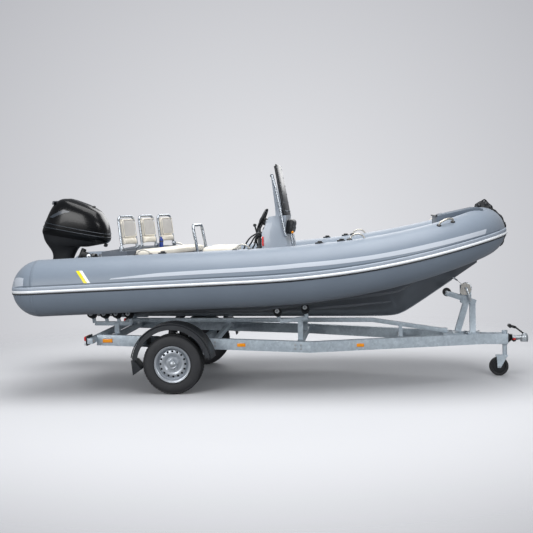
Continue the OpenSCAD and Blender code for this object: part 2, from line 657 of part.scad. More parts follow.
// rim and disc sections as [radius, distance outwards from the wheel's middle plane]
barrel_outline = [[rim_r, -82], [rim_r, -74], [180, -70], [178, -34], [165, -22], [165, 22], [178, 34],
    [180, 70], [rim_r, 74], [rim_r, 82], [190, 82], [174, 75], [172, 38], [159, 26], [159, -26],
    [172, -38], [174, -75], [190, -82]];
disc_outline = [[stub_d / 2 + bearing_gap, 14], [stub_d / 2 + bearing_gap, 60], [44, 66], [52, 34],
    [76, 32], [96, 46], [120, 50], [148, 44], [162, 24], [162, 8], [152, 14], [140, 36], [118, 42],
    [100, 38], [80, 24], [56, 24], [50, 14]];
tyre_outline = [[180.4, -69.6], [196, -73.7], [200, -80], [216, -88], [255, -tyre_w / 2], [292, -88],
    [tyre_d / 2 - 12, -78], [tyre_d / 2 - 3, -64], [tyre_d / 2, -40], [tyre_d / 2, 40], [tyre_d / 2 - 3, 64],
    [tyre_d / 2 - 12, 78], [292, 88], [255, tyre_w / 2], [216, 88], [200, 80], [196, 73.7], [180.4, 69.6]];
vent_count = 16;
vent_r = 136;
module rim() difference() {
    union() {
        rotate_extrude($fn = 96) polygon(barrel_outline);
        rotate_extrude($fn = 96) polygon(disc_outline);
    }
    for (i = [0 : vent_count - 1]) rotate([0, 0, i * 360 / vent_count])
        translate([vent_r, 0, 0]) cylinder(h = 90, d = 24, $fn = 24);
}
module at_wheel(s) placed() translate([0, s * track / 2, wheel_z]) rotate([s > 0 ? -90 : 90, 0, 0])
    children();
module rim_starboard() color("#c2c5c8") at_wheel(-1) rim();
module rim_port() color("#c2c5c8") at_wheel(1) rim();
module tyre_shape() rotate_extrude($fn = 128) polygon(tyre_outline);
module tyre_starboard() color("#202123") at_wheel(-1) tyre_shape();
module tyre_port() color("#202123") at_wheel(1) tyre_shape();

guard_r = 440;
guard_in = 800;
guard_out = 1060;
// mudguard section as [radius, distance from the centre plane]
guard_outline = [[guard_r - 38, guard_out - 4], [guard_r - 32, guard_out], [guard_r - 14, guard_out - 16],
    [guard_r, guard_out - 60], [guard_r + 5, guard_out - 150], [guard_r + 5, guard_in],
    [guard_r - 1, guard_in], [guard_r - 1, guard_out - 150], [guard_r - 6, guard_out - 62],
    [guard_r - 19, guard_out - 22]];
module mudguards() placed() color("#1f2022") both_sides() {
    translate([0, 0, wheel_z]) mirror([0, 1, 0]) rotate([90, 0, 0]) rotate([0, 0, 8])
        rotate_extrude(angle = 166, $fn = 96) polygon(guard_outline);
    intersection() {
        for (x = [-300, 300]) translate([x - 20, rail_y + rail_w / 2 + seat_gap, rail_z(x) - 20])
            cube([40, guard_in + 20 - rail_y - rail_w / 2, guard_r]);
        cross_pin([0, 0, wheel_z], 2 * guard_r + 6, 3 * track);
    }
    translate([0, guard_out - 10, 0]) rotate([90, 0, 0]) linear_extrude(guard_out - guard_in - 50)
        polygon([[-441, 378], [-425, 215], [-330, 280], [-403, 372]]);
}

// ---- Rollers ---------------------------------------------------------------
roller_y = 420;
roller_l = 56;
roller_pin_d = 18;
function bottom_z(x, y) = keel_height(x) + y * tan(hull_deadrise(x));
// centre of a roller of diameter d that touches the hull at station x
function roller_at(x, d) = let (r = d / 2 + 3 * seat_gap, a = hull_deadrise(x))
    [x, roller_y + r * sin(a), bottom_z(x, roller_y) - r * cos(a)];
module at_roller(x) translate(roller_at(x, roller_d)) rotate([hull_deadrise(x), 0, 0]) children();
roller_sets = [stern_rollers, mid_rollers];
keel_rests = [-600, 560, 1770];
module hull_rollers() placed() color("#1d1e20") {
    both_sides() for (set = roller_sets, x = set) at_roller(x) difference() {
        cross_pin([0, 0, 0], roller_d, roller_l);
        cross_pin([0, 0, 0], roller_pin_d + 2 * bearing_gap, roller_l + 10);
    }
    for (x = keel_rests) let (z = keel_beam_top(x - 45) + seat_gap)
        translate([x - 45, -keel_beam_w / 2, z])
            cube([90, keel_beam_w, min(keel_height(x - 45), keel_height(x + 45)) - seat_gap - z]);
}

rocker_h = 46;
rocker_w = 30;
rocker_drop = 108;       // rocker bar's centre below the roller pins
module rocker(xs, foot_x) {
    a = roller_at(xs[0], roller_d);
    b = roller_at(xs[len(xs) - 1], roller_d);
    y = a[1] - roller_l / 2 - 12;
    beam([a[0] + 20, y, a[2] - rocker_drop], [b[0] + 20, y, b[2] - rocker_drop], rocker_w, rocker_h);
    for (x = xs) {
        p = roller_at(x, roller_d);
        at_roller(x) {
            cross_pin([0, -8, 0], roller_pin_d, roller_l + 30);
            translate([0, -roller_l / 2 - 13, 0]) cross_pin([0, 0, 0], 40, 12);
        }
        beam([x, p[1] - roller_l / 2 - 14, p[2] + 6], [x + 14, y, p[2] - rocker_drop + 4], 12, 40);
    }
    fz = rail_z(foot_x) + cross_h / 2 + seat_gap;
    translate([foot_x - 28, y - 24, fz]) cube([56, 48, a[2] - rocker_drop - fz]);
}
module roller_cradles() placed() color("#a2a6aa") both_sides() {
    rocker(stern_rollers, cradle_x);
    rocker(mid_rollers, mid_cradle_x);
}

// ---- Winch post ------------------------------------------------------------
post_x = 3275;
bow_roller_at = [2990, 0, 962];
bow_roller_d = 96;
winch_at = [3200, 0, 1010];
arm_half = 34.5;         // inner face of the arm plates
arm_t = 8;
drum_w = 2 * arm_half - 6;
module winch_post() placed() color("#a9adb1") {
    z0 = rail_z(post_x - 60) + rail_h / 2 + 2 * seat_gap;
    translate([post_x - 60, -95, z0]) cube([120, 190, flange_t]);
    translate([post_x - 32, -35, z0]) cube([64, 70, 850 - z0]);
    z1 = rail_z(keel_front_x + 60) + rail_h / 2 + 2 * seat_gap;
    translate([keel_front_x + 60 + 2 * seat_gap, -150, z1]) cube([110, 300, flange_t]);
    beam([keel_front_x + 116, 0, z1 + 20], [3205, 0, 846], 2 * arm_half + 3, 66);
    for (s = [-1, 1]) {
        beam([2975, s * (arm_half + arm_t / 2), 957], [3310, s * (arm_half + arm_t / 2), 838], arm_t, 56);
        translate([3140, s * (arm_half + arm_t / 2) - arm_t / 2 - 1, 838]) cube([120, arm_t + 2, 202]);
    }
    cross_pin(bow_roller_at, 20, 130);
    cross_pin(winch_at, 20, 180);
}
module bored(p, pin_d) difference() {
    children();
    cross_pin(p, pin_d + 2 * bearing_gap, 400);
}
module winch() placed() color("#1d1e20") {
    bored(winch_at, 20) {
        cross_pin(winch_at, 66, drum_w);
        beam([winch_at[0] - 25, 0, winch_at[2] + 28], [3079.6, 0, 1121.8], 50, 8);
    }
    bored(winch_at, 20) translate([0, -60, 0]) cross_pin(winch_at, 130, 12);
    bored(bow_roller_at, 20) cross_pin(bow_roller_at, bow_roller_d, drum_w);
}

module lamps() placed() color("#b3201c") {
    both_sides() {
        translate([tail_x - tail_gap - cross_w - 42, 720, tail_z - 44]) cube([42 - seat_gap, 205, 108]);
        translate([-825, rail_y + rail_w / 2 + seat_gap, rail_z(-780) - 26]) cube([115, 14, 46]);
    }
}

// ---- Coupling and jockey wheel ---------------------------------------------
coupling_x = far_front_x - 43;
module coupling() placed() color("#3a3c3f") {
    difference() {
        union() {
            translate([coupling_x, 0, 388]) cylinder(h = 72, d = 86, $fn = 64);
            translate([nose_x + 1.2, 0, nose_z + 8]) rotate([0, 90, 0])
                cylinder(h = coupling_x - nose_x, d = 52, $fn = 48);
            translate([nose_x + 1.2, 0, nose_z + 2]) rotate([0, 90, 0]) cylinder(h = 40, d = 104, $fn = 48);
        }
        translate([coupling_x, 0, 380]) cylinder(h = 50, d = ball_d + 0.6, $fn = 64);
    }
    translate([coupling_x, 0, 459]) cylinder(h = 26, d = 50, $fn = 48);
    beam([coupling_x - 10, 0, 478], [coupling_x - 110, 0, 560], 34, 20);
    rod([coupling_x - 92, 0, 546], [coupling_x - 160, 0, 566], 30);
}

clamp_low = 352;
clamp_high = 505;
jockey_id = 50;
module jockey_clamp() placed() color("#a9adb1") translate([jockey_x, 0, clamp_low]) difference() {
    union() {
        cylinder(h = clamp_high - clamp_low, d = jockey_od, $fn = 48);
        translate([0, 0, clamp_high - clamp_low - 1]) cylinder(h = 12, d = 66, $fn = 48);
    }
    translate([0, 0, -5]) cylinder(h = clamp_high - clamp_low - 5, d = jockey_id + 2 * bearing_gap, $fn = 48);
}

crown_z = 220;
crown_t = 12;
jockey_trail = 68;
stem_pin_d = 20;
module jockey_tube() placed() color("#c2c5c8") translate([jockey_x, 0, 0]) {
    translate([0, 0, crown_z + crown_t + 1]) cylinder(h = 186, d = jockey_id, $fn = 48);
    translate([0, 0, crown_z - 7]) cylinder(h = crown_t + 10, d = stem_pin_d, $fn = 32);
    translate([0, 0, crown_z - 7]) cylinder(h = 6, d = 32, $fn = 32);
}

jockey_w = 58;
axle_bolt_d = 16;
module jockey_fork() placed() color("#a9adb1") translate([jockey_x, 0, 0]) {
    plate_y = jockey_w / 2 + 6;
    difference() {
        translate([-100, -plate_y - 6, crown_z]) cube([132, 2 * plate_y + 12, crown_t]);
        translate([0, 0, crown_z - 5]) cylinder(h = crown_t + 10, d = stem_pin_d + 2 * bearing_gap, $fn = 32);
    }
    both_sides() translate([0, plate_y + 6, 0]) rotate([90, 0, 0]) linear_extrude(6)
        polygon([[-jockey_trail - 18, jockey_d / 2 - 16], [-jockey_trail + 18, jockey_d / 2 - 16],
                 [20, crown_z + 1], [-95, crown_z + 1]]);
    cross_pin([-jockey_trail, 0, jockey_d / 2], axle_bolt_d, 2 * plate_y + 20);
}
module jockey_wheel() placed() color("#202123")
    translate([jockey_x - jockey_trail, 0, jockey_d / 2]) rotate([90, 0, 0]) rotate_extrude($fn = 96)
        polygon([[axle_bolt_d / 2 + bearing_gap, -jockey_w / 2], [jockey_d / 2 - 12, -jockey_w / 2],
                 [jockey_d / 2 - 2, -jockey_w / 2 + 10], [jockey_d / 2, 0],
                 [jockey_d / 2 - 2, jockey_w / 2 - 10], [jockey_d / 2 - 12, jockey_w / 2],
                 [axle_bolt_d / 2 + bearing_gap, jockey_w / 2]]);

hull();
deck();
transom();
tube_collar();
rub_rail();
bow_step();
bow_fitting();
grab_handles();
stern_bench();
helm_seat();
cushions();
seat_brackets();
backrest_frame_starboard();
backrest_pad_starboard();
backrest_frame_centre();
backrest_pad_centre();
backrest_frame_port();
backrest_pad_port();
helm_rail();
water_canister();
console();
windscreen();
console_bolster();
helm_column();
steering_wheel();
throttle_box();
engine_bracket();
engine_swivel();
engine_leg();
engine_cowl();
propeller();
frame_rails();
cross_members();
keel_beam();
axle();
rim_starboard();
tyre_starboard();
rim_port();
tyre_port();
mudguards();
roller_cradles();
hull_rollers();
winch_post();
winch();
lamps();
coupling();
jockey_clamp();
jockey_tube();
jockey_fork();
jockey_wheel();
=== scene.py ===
"""Looks of a rigid inflatable boat on its road trailer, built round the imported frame.

Lengths are metres: +X runs to the bow, +Y to port, +Z up, and the ground is Z = 0. Stations along
the boat are counted from the trailer's wheel axle, bow positive; MID moves them to the frame.
"""
import logging
import math
from dataclasses import dataclass, field
from enum import Enum
from typing import Sequence

import bmesh
import bpy
from mathutils import Matrix, Vector


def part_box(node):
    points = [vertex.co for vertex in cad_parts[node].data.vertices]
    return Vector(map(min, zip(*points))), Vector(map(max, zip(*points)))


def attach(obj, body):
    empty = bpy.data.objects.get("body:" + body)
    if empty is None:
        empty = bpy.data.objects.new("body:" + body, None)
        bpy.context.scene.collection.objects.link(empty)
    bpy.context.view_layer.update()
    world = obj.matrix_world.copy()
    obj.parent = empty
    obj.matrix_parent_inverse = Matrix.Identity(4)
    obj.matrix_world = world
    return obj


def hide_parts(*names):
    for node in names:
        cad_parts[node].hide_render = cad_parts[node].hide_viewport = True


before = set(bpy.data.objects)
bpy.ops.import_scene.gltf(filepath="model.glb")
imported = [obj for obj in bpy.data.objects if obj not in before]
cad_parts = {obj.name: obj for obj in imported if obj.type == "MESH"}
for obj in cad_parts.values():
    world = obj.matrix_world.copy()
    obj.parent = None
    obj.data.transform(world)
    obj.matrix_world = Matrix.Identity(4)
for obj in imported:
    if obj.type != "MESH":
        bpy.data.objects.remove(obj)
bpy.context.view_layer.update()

LOG = logging.getLogger("boat")
MID = 0.9308
ROOT = "boat_and_trailer"
SIDES = (-1, 1)
SIDE_NAMES = {-1: "starboard", 1: "port"}
FORE, LEFT, UP = Vector((1, 0, 0)), Vector((0, 1, 0)), Vector((0, 0, 1))
Point = Sequence[float]
Face = Sequence[int]
Table = Sequence[tuple[float, float]]


def vec(x: float, y: float, z: float) -> Vector:
    """Makes a vector of three numbers."""
    return Vector((x, y, z))


# ---- Materials --------------------------------------------------------------
def linear(code: str) -> tuple[float, float, float, float]:
    """Turns an sRGB hex colour to linear RGBA.

    Args:
        code: six hex digits after a hash sign.
    Returns:
        Red, green, blue and an alpha of one.
    """
    parts = [int(code[i:i + 2], 16) / 255 for i in (1, 3, 5)]
    return tuple(c / 12.92 if c <= 0.04045 else ((c + 0.055) / 1.055) ** 2.4 for c in parts) + (1.0,)


def add_node(tree: bpy.types.NodeTree, kind: str, inputs: dict | None = None, **settings) -> bpy.types.Node:
    """Adds a node, sets its properties, and sets or links its inputs.

    Args:
        tree: the tree to add to.
        kind: the node's type name.
        inputs: input name or index to a value, or to the socket that feeds it.
        **settings: properties of the node.
    Returns:
        The new node.
    """
    node = tree.nodes.new(kind)
    for key, value in settings.items():
        setattr(node, key, value)
    for key, value in (inputs or {}).items():
        if isinstance(value, bpy.types.NodeSocket):
            tree.links.new(value, node.inputs[key])
        else:
            node.inputs[key].default_value = value
    return node


class Grain(Enum):
    """Surface pattern of a finish."""
    NONE = "none"
    PEEL = "fine dimples of sprayed or moulded skin"
    WEAVE = "crossed threads"
    SPANGLE = "zinc crystals"
    BRUSH = "fine drawn lines"
    DIAMOND = "crossed ridges of a non-slip floor"


PEEL, WEAVE, DIAMOND = Grain.PEEL, Grain.WEAVE, Grain.DIAMOND


@dataclass(frozen=True)
class Finish:
    """One real surface: its colours, its gloss and its pattern.

    second is the colour it drifts to in patches patch_mm across; drift is how far.
    """
    name: str
    colour: str
    second: str
    drift: float = 0.35
    patch_mm: float = 260.0
    roughness: float = 0.5
    rough_spread: float = 0.1
    metallic: float = 0.0
    coat: float = 0.0
    sheen: float = 0.0
    specular: float = 0.5
    grain: Grain = Grain.NONE
    grain_mm: float = 4.0
    relief_mm: float = 0.2
    # Painted light: a faint glow in the finish's own colour.
    painted_glow: float = 0.0

    def height(self, tree: bpy.types.NodeTree, place: bpy.types.NodeSocket) -> bpy.types.NodeSocket:
        """Builds the pattern's height from 0 to 1.

        Args:
            tree: the material's tree.
            place: object coordinates.
        Returns:
            The height socket.
        """
        scale = 1000 / self.grain_mm
        if self.grain is Grain.SPANGLE:
            cells = add_node(tree, "ShaderNodeTexVoronoi", {"Vector": place, "Scale": scale})
            return cells.outputs["Distance"]
        if self.grain in (Grain.WEAVE, Grain.DIAMOND):
            rise = []
            for axis in (("X", "Z") if self.grain is Grain.WEAVE else ("X", "Y")):
                rise.append(add_node(tree, "ShaderNodeTexWave",
                    {"Vector": place, "Scale": scale / 2, "Distortion": 0.4},
                    bands_direction=axis).outputs["Fac"])
            return add_node(tree, "ShaderNodeMath", {0: rise[0], 1: rise[1]}, operation="MAXIMUM").outputs[0]
        if self.grain is Grain.BRUSH:
            drawn = add_node(tree, "ShaderNodeMapping", {"Vector": place, "Scale": (1.0, 8.0, 8.0)})
            place = drawn.outputs[0]
        return add_node(tree, "ShaderNodeTexNoise",
            {"Vector": place, "Scale": scale, "Detail": 3.0}).outputs["Fac"]

    def build(self) -> bpy.types.Material:
        """Makes the material, or returns the one made before."""
        made = bpy.data.materials.get(self.name)
        if made:
            return made
        made = bpy.data.materials.new(self.name)
        made.use_nodes = True
        tree = made.node_tree
        shader = tree.nodes["Principled BSDF"]
        second = linear(self.second)
        place = add_node(tree, "ShaderNodeTexCoord").outputs["Object"]
        patch = add_node(tree, "ShaderNodeTexNoise",
            {"Vector": place, "Scale": 1000 / self.patch_mm, "Detail": 4.0, "Roughness": 0.6})
        ramp = add_node(tree, "ShaderNodeMapRange", {"Value": patch.outputs["Fac"], "From Min": 0.3,
            "From Max": 0.7, "To Max": self.drift})
        mixed = add_node(tree, "ShaderNodeMix", {0: ramp.outputs[0], 6: linear(self.colour),
            7: second}, data_type="RGBA")
        tree.links.new(mixed.outputs[2], shader.inputs["Base Color"])
        rough = add_node(tree, "ShaderNodeMapRange",
            {"Value": patch.outputs["Fac"], "To Min": self.roughness - self.rough_spread / 2,
            "To Max": self.roughness + self.rough_spread / 2})
        tree.links.new(rough.outputs[0], shader.inputs["Roughness"])
        for label, value in (("Metallic", self.metallic), ("Coat Weight", self.coat),
                ("Sheen Weight", self.sheen), ("Specular IOR Level", self.specular)):
            shader.inputs[label].default_value = value
        # Painted light: the surface glows in its own colour.
        if self.painted_glow:
            shader.inputs["Emission Color"].default_value = linear(self.colour)
            shader.inputs["Emission Strength"].default_value = self.painted_glow
        if self.grain is not Grain.NONE:
            height = self.height(tree, place)
            bump = add_node(tree, "ShaderNodeBump", {"Height": height, "Distance": self.relief_mm / 1000,
                "Strength": 0.8})
            tree.links.new(bump.outputs[0], shader.inputs["Normal"])
            if self.grain is Grain.SPANGLE:
                cells = add_node(tree, "ShaderNodeTexVoronoi",
                    {"Vector": place, "Scale": 1000 / self.grain_mm})
                shade = add_node(tree, "ShaderNodeMapRange", {"Value": cells.outputs["Color"],
                    "To Min": 0.0, "To Max": 0.45})
                dull = add_node(tree, "ShaderNodeMix", {0: shade.outputs[0], 6: mixed.outputs[2],
                    7: second}, data_type="RGBA")
                tree.links.new(dull.outputs[2], shader.inputs["Base Color"])
        return made


# Hypalon-type coated cloth, calendered smooth: satin, a faint thread shows through.
TUBE_CLOTH = Finish("coated tube cloth", "#7f8b99", "#76818f", 0.5, 420, 0.42, 0.1,
    sheen=0.15, grain=WEAVE, grain_mm=3, relief_mm=0.05)
# The paler coated cloth of the wide stripes.
STRIPE_CLOTH = Finish("pale stripe cloth", "#c3cad4", "#b6bec9", 0.4, 300, 0.45,
    grain=WEAVE, grain_mm=3, relief_mm=0.05)
# Darker welt tape along the stripes.
WELT_CLOTH = Finish("dark welt tape", "#5d6976", "#535e6a", 0.4, 200, 0.5)
# Extruded rubber rail, pale grey and white: matt, slightly scuffed.
RAIL_GREY = Finish("pale grey rail rubber", "#a4aebb", "#98a2af", 0.5, 240, 0.5, grain=PEEL, grain_mm=6)
RAIL_WHITE = Finish("white rail bead", "#f0f3f6", "#dfe4e9", 0.4, 300, 0.35, grain=PEEL, grain_mm=8,
    relief_mm=0.08)
YELLOW_FILM = Finish("yellow cut film", "#f2e21c", "#e8d613", 0.3, 120, 0.35)
WHITE_FILM = Finish("white cut film", "#f4f6f8", "#e9edf0", 0.3, 120, 0.35)
# Polyester gelcoat out of a polished mould: glossy under a faint orange peel.
HULL_GELCOAT = Finish("grey hull gelcoat", "#666b72", "#5c6168", 0.5, 500, 0.3, 0.12, coat=0.3,
    grain=PEEL, grain_mm=18, relief_mm=0.15)
BENCH_GELCOAT = Finish("dark seat gelcoat", "#565d67", "#4b525b", 0.5, 300, 0.5, grain=DIAMOND,
    grain_mm=14, relief_mm=0.5)
PALE_GELCOAT = Finish("pale grey gelcoat", "#c9cdd2", "#bcc1c7", 0.4, 300, 0.3, coat=0.3,
    grain=PEEL, grain_mm=16, relief_mm=0.12)
CONSOLE_GELCOAT = Finish("console gelcoat", "#9fa8b3", "#949da8", 0.4, 340, 0.32, coat=0.3,
    grain=PEEL, grain_mm=16, relief_mm=0.12)
# Moulded non-slip: a raised pattern, drawn at 16 mm where the real one is about 5.
DECK_NONSLIP = Finish("non-slip deck", "#c4c8cc", "#b4b9be", 0.5, 260, 0.6, grain=DIAMOND,
    grain_mm=16, relief_mm=0.8)
STEP_PLASTIC = Finish("dark moulded step", "#596471", "#4d5763", 0.5, 160, 0.55, grain=PEEL,
    grain_mm=7, relief_mm=0.3)
BLACK_PLASTIC = Finish("black moulded plastic", "#1d1f22", "#2a2c30", 0.5, 90, 0.42, grain=PEEL,
    grain_mm=5, relief_mm=0.15)
GUARD_PLASTIC = Finish("black guard plastic", "#2a2d31", "#36393e", 0.6, 120, 0.4, grain=PEEL,
    grain_mm=6, relief_mm=0.25)
ROLLER_RUBBER = Finish("black roller rubber", "#1b1c1f", "#292a2d", 0.5, 60, 0.55, grain=PEEL, grain_mm=5)
TYRE_RUBBER = Finish("tyre rubber", "#2b2c2f", "#38393c", 0.6, 90, 0.62, grain=PEEL, grain_mm=5)
WEBBING = Finish("black webbing", "#17181a", "#232427", 0.5, 50, 0.7, sheen=0.3, grain=WEAVE,
    grain_mm=4, relief_mm=0.4)
# Marine vinyl over foam: leather grain, drawn at 6 mm where the real one is about 1.5.
CREAM_VINYL = Finish("cream seat vinyl", "#e6e0d3", "#d8d1c2", 0.5, 140, 0.5, sheen=0.2, grain=PEEL,
    grain_mm=6, relief_mm=0.3)
GREY_VINYL = Finish("grey seat vinyl", "#bab7b3", "#aba8a4", 0.5, 70, 0.6, sheen=0.25, grain=WEAVE,
    grain_mm=6, relief_mm=0.5)
STAINLESS = Finish("polished stainless steel", "#b4bac1", "#a0a7af", 0.5, 60, 0.27, 0.1, metallic=0.9,
    grain=Grain.BRUSH, grain_mm=6, relief_mm=0.03)
# Hot-dip zinc: dull metal with crystals 20 mm across and darker streaks.
GALVANISED = Finish("hot-dip galvanised steel", "#d3dfe8", "#93a1ad", 0.5, 85, 0.45, 0.2, metallic=0.15,
    grain=Grain.SPANGLE, grain_mm=22, relief_mm=0.12)
ZINC_PLATE = Finish("zinc plated casting", "#c3c9ce", "#a2a9b0", 0.5, 40, 0.35, 0.15, metallic=0.6,
    grain=PEEL, grain_mm=9, relief_mm=0.3)
RIM_SILVER = Finish("silver wheel paint", "#b9bfc6", "#a3a9b1", 0.5, 70, 0.36, 0.12, metallic=0.55, coat=0.2,
    grain=PEEL, grain_mm=10, relief_mm=0.05)
# Engine enamel: black under clear lacquer, metal flake too fine to show.
ENGINE_GLOSS = Finish("black engine lacquer", "#08090b", "#0e1013", 0.5, 260, 0.24, 0.06, coat=0.1,
    specular=0.28, grain=PEEL, grain_mm=20, relief_mm=0.05)
# Dark grey trim; on the cowl's side bands the same grey paints a highlight along the panel's edge.
ENGINE_TRIM_AND_HIGHLIGHT = Finish("dark grey cowl trim", "#3c434c", "#2e343c", 0.5, 140, 0.3, 0.1, coat=0.3)
ENGINE_CAST = Finish("black painted casting", "#17191c", "#212429", 0.5, 70, 0.45, grain=PEEL,
    grain_mm=7, relief_mm=0.3)
SMOKED_ACRYLIC = Finish("smoked acrylic", "#232529", "#1b1d20", 0.4, 300, 0.3, 0.04, specular=0.3)
# The red and amber lenses glow faintly: painted light, also on the side reflectors and the bolster knob that
# wear them.
LENS_RED = Finish("red lens", "#d01a20", "#b01218", 0.4, 30, 0.18, grain=DIAMOND, grain_mm=9,
    relief_mm=0.5, painted_glow=0.15)
LENS_AMBER = Finish("amber lens", "#f59a1d", "#e5860c", 0.4, 30, 0.18, grain=DIAMOND, grain_mm=9,
    relief_mm=0.5, painted_glow=0.15)
LENS_CLEAR = Finish("clear lens", "#dfe4e8", "#cdd3d8", 0.4, 30, 0.15, grain=DIAMOND, grain_mm=9)
RED_PLASTIC = Finish("red moulded plastic", "#e0201c", "#c41a17", 0.4, 40, 0.35)
CANISTER_BLUE = Finish("blue bottle plastic", "#1c3f9c", "#163383", 0.4, 60, 0.25, coat=0.3)
WINCH_PLATE = Finish("pale winch plate", "#c9c6c0", "#b4b1ab", 0.5, 50, 0.4, metallic=0.3,
    grain=PEEL, grain_mm=8)
HUB_WHITE = Finish("pale roller hub", "#e2e6ea", "#cfd4d9", 0.4, 30, 0.35)
HANDLE_METAL = Finish("pale handle metal", "#cdc9c0", "#b5b1a8", 0.4, 40, 0.3, metallic=0.7)


# ---- Mesh helpers -----------------------------------------------------------
def st(x: float, y: float, z: float) -> Vector:
    """Turns a station point to the frame."""
    return vec(x - MID, y, z)


def link_mesh(name: str, mesh: bpy.types.Mesh) -> bpy.types.Object:
    """Puts a mesh in the scene as an object at the origin."""
    made = bpy.data.objects.new(name, mesh)
    bpy.context.scene.collection.objects.link(made)
    return made


def clean_mesh(name: str, shells: Sequence["Shell"]) -> bpy.types.Mesh:
    """Joins shells in one mesh, merges doubled points and turns the faces outward."""
    verts: list[Vector] = []
    faces: list[list[int]] = []
    for shell in shells:
        base = len(verts)
        verts += [Vector(v) for v in shell.verts]
        faces += [[base + i for i in f] for f in shell.faces]
    mesh = bpy.data.meshes.new(name)
    mesh.from_pydata(verts, [], faces)
    work = bmesh.new()
    work.from_mesh(mesh)
    bmesh.ops.remove_doubles(work, verts=work.verts, dist=1e-6)
    bmesh.ops.recalc_face_normals(work, faces=work.faces)
    work.to_mesh(mesh)
    work.free()
    return mesh


def piece(name: str, shells: Sequence["Shell"], finish: Finish, body: str = ROOT,
        replaces: Sequence[str] = (), sharp: float = 38.0) -> bpy.types.Object:
    """Makes one object of several shells and ties it to the frame.

    Args:
        name: the piece's name.
        shells: its closed shells.
        finish: the finish it wears.
        body: the CAD body it moves with.
        replaces: CAD nodes it stands for.
        sharp: angle in degrees above which an edge stays crisp.
    Returns:
        The new object.
    """
    mesh = clean_mesh(name, shells)
    mesh.polygons.foreach_set("use_smooth", [True] * len(mesh.polygons))
    mesh.set_sharp_from_angle(angle=math.radians(sharp))
    mesh.materials.append(finish.build())
    made = link_mesh(name, mesh)
    settle(made, body, replaces)
    return made


def settle(made: bpy.types.Object, body: str = ROOT, replaces: Sequence[str] = ()) -> None:
    """Ties a finished object to its body and hides the nodes it stands for."""
    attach(made, body)
    if replaces:
        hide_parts(*replaces)
    LOG.info("%s: %d faces on %s", made.name, len(made.data.polygons), body)


@dataclass
class Shell:
    """A closed surface as points and faces."""
    verts: list[Point]
    faces: list[Face]

    def moved(self, matrix: Matrix) -> "Shell":
        """Returns a copy moved by a matrix."""
        return Shell([matrix @ Vector(v) for v in self.verts], self.faces)


def loft(rings: Sequence[Sequence[Point]], closed: bool = False) -> Shell:
    """Skins rings that hold the same number of points.

    Args:
        rings: the sections in order.
        closed: whether the last ring joins the first, as on a hoop.
    Returns:
        The skin, capped where it is not closed.
    """
    n, m = len(rings[0]), len(rings)
    verts = [p for ring in rings for p in ring]
    faces: list[list[int]] = []
    for i in range(m if closed else m - 1):
        j = (i + 1) % m
        faces += [[i * n + k, i * n + (k + 1) % n, j * n + (k + 1) % n, j * n + k] for k in range(n)]
    if not closed:
        faces += [list(range(n - 1, -1, -1)), [(m - 1) * n + k for k in range(n)]]
    return Shell(verts, faces)


def smooth_line(points: Sequence[Point], per_span: int = 8) -> list[Vector]:
    """Runs a Catmull-Rom curve through points.

    Args:
        points: the points to pass through.
        per_span: points added for each gap.
    Returns:
        The points of the curve.
    """
    p = [Vector(q) for q in points]
    p = [p[0] * 2 - p[1]] + p + [p[-1] * 2 - p[-2]]
    out = []
    for i in range(1, len(p) - 2):
        for k in range(per_span):
            t = k / per_span
            out.append(0.5 * (2 * p[i] + (p[i + 1] - p[i - 1]) * t
                + (2 * p[i - 1] - 5 * p[i] + 4 * p[i + 1] - p[i + 2]) * t * t
                + (3 * p[i] - p[i - 1] - 3 * p[i + 1] + p[i + 2]) * t ** 3))
    return out + [p[-2]]


def sweep(path: Sequence[Vector], section: Table, side: Vector = LEFT, closed: bool = False) -> Shell:
    """Carries a flat section along a path.

    Args:
        path: the points to follow.
        section: its points as (across, up).
        side: a direction that the section's across axis keeps to.
        closed: whether the path is a loop.
    Returns:
        The swept shell.
    """
    rings = []
    for i, p in enumerate(path):
        a = path[i - 1] if closed or i else p
        b = path[(i + 1) % len(path)] if closed or i < len(path) - 1 else p
        ahead = (Vector(b) - Vector(a)).normalized()
        up = ahead.cross(side).normalized()
        across = up.cross(ahead).normalized()
        rings.append([Vector(p) + across * u + up * v for u, v in section])
    return loft(rings, closed)


def arc(start: int, stop: int, step: int) -> list[float]:
    """Gives the angles of range(start, stop, step), turned from degrees to radians."""
    return [math.radians(d) for d in range(start, stop, step)]


def circle(radius: float, sides: int) -> list[tuple[float, float]]:
    """Gives the points of a circle."""
    return [(radius * math.cos(k * math.tau / sides), radius * math.sin(k * math.tau / sides))
        for k in range(sides)]


def band_section(width: float, thick: float) -> list[tuple[float, float]]:
    """Gives the flat section of a strap."""
    return [(u * width / 2, v * thick / 2) for u, v in ((-1, -1), (1, -1), (1, 1), (-1, 1))]


def both_ways(half: Table) -> list[tuple[float, float]]:
    """Mirrors a lathe outline that starts at its negative end; a point at zero is kept once."""
    return [*half, *((r, -h) for r, h in reversed(half) if h)]


def pipe(points: Sequence[Point], radius: float, side: Vector = LEFT) -> Shell:
    """Makes a round pipe through points."""
    line = smooth_line(points) if len(points) > 2 else [Vector(p) for p in points]
    return sweep(line, circle(radius, 14), side)


def lathe(outline: Table, centre: Point, axis: Point = (0, 1, 0), turns: int = 48) -> Shell:
    """Turns a closed outline about an axis.

    Args:
        outline: points as (radius, distance along the axis); the ends may lie on the axis.
        centre: a point on the axis.
        axis: the axis' direction.
        turns: facets round the axis.
    Returns:
        The turned shell.
    """
    turn = UP.rotation_difference(Vector(axis)).to_matrix().to_4x4()
    place = Matrix.Translation(Vector(centre)) @ turn
    rings = []
    for k in range(turns):
        a = k * math.tau / turns
        rings.append([place @ Vector((max(r, 1e-5) * math.cos(a), max(r, 1e-5) * math.sin(a), h))
            for r, h in outline])
    return loft(rings, closed=True)


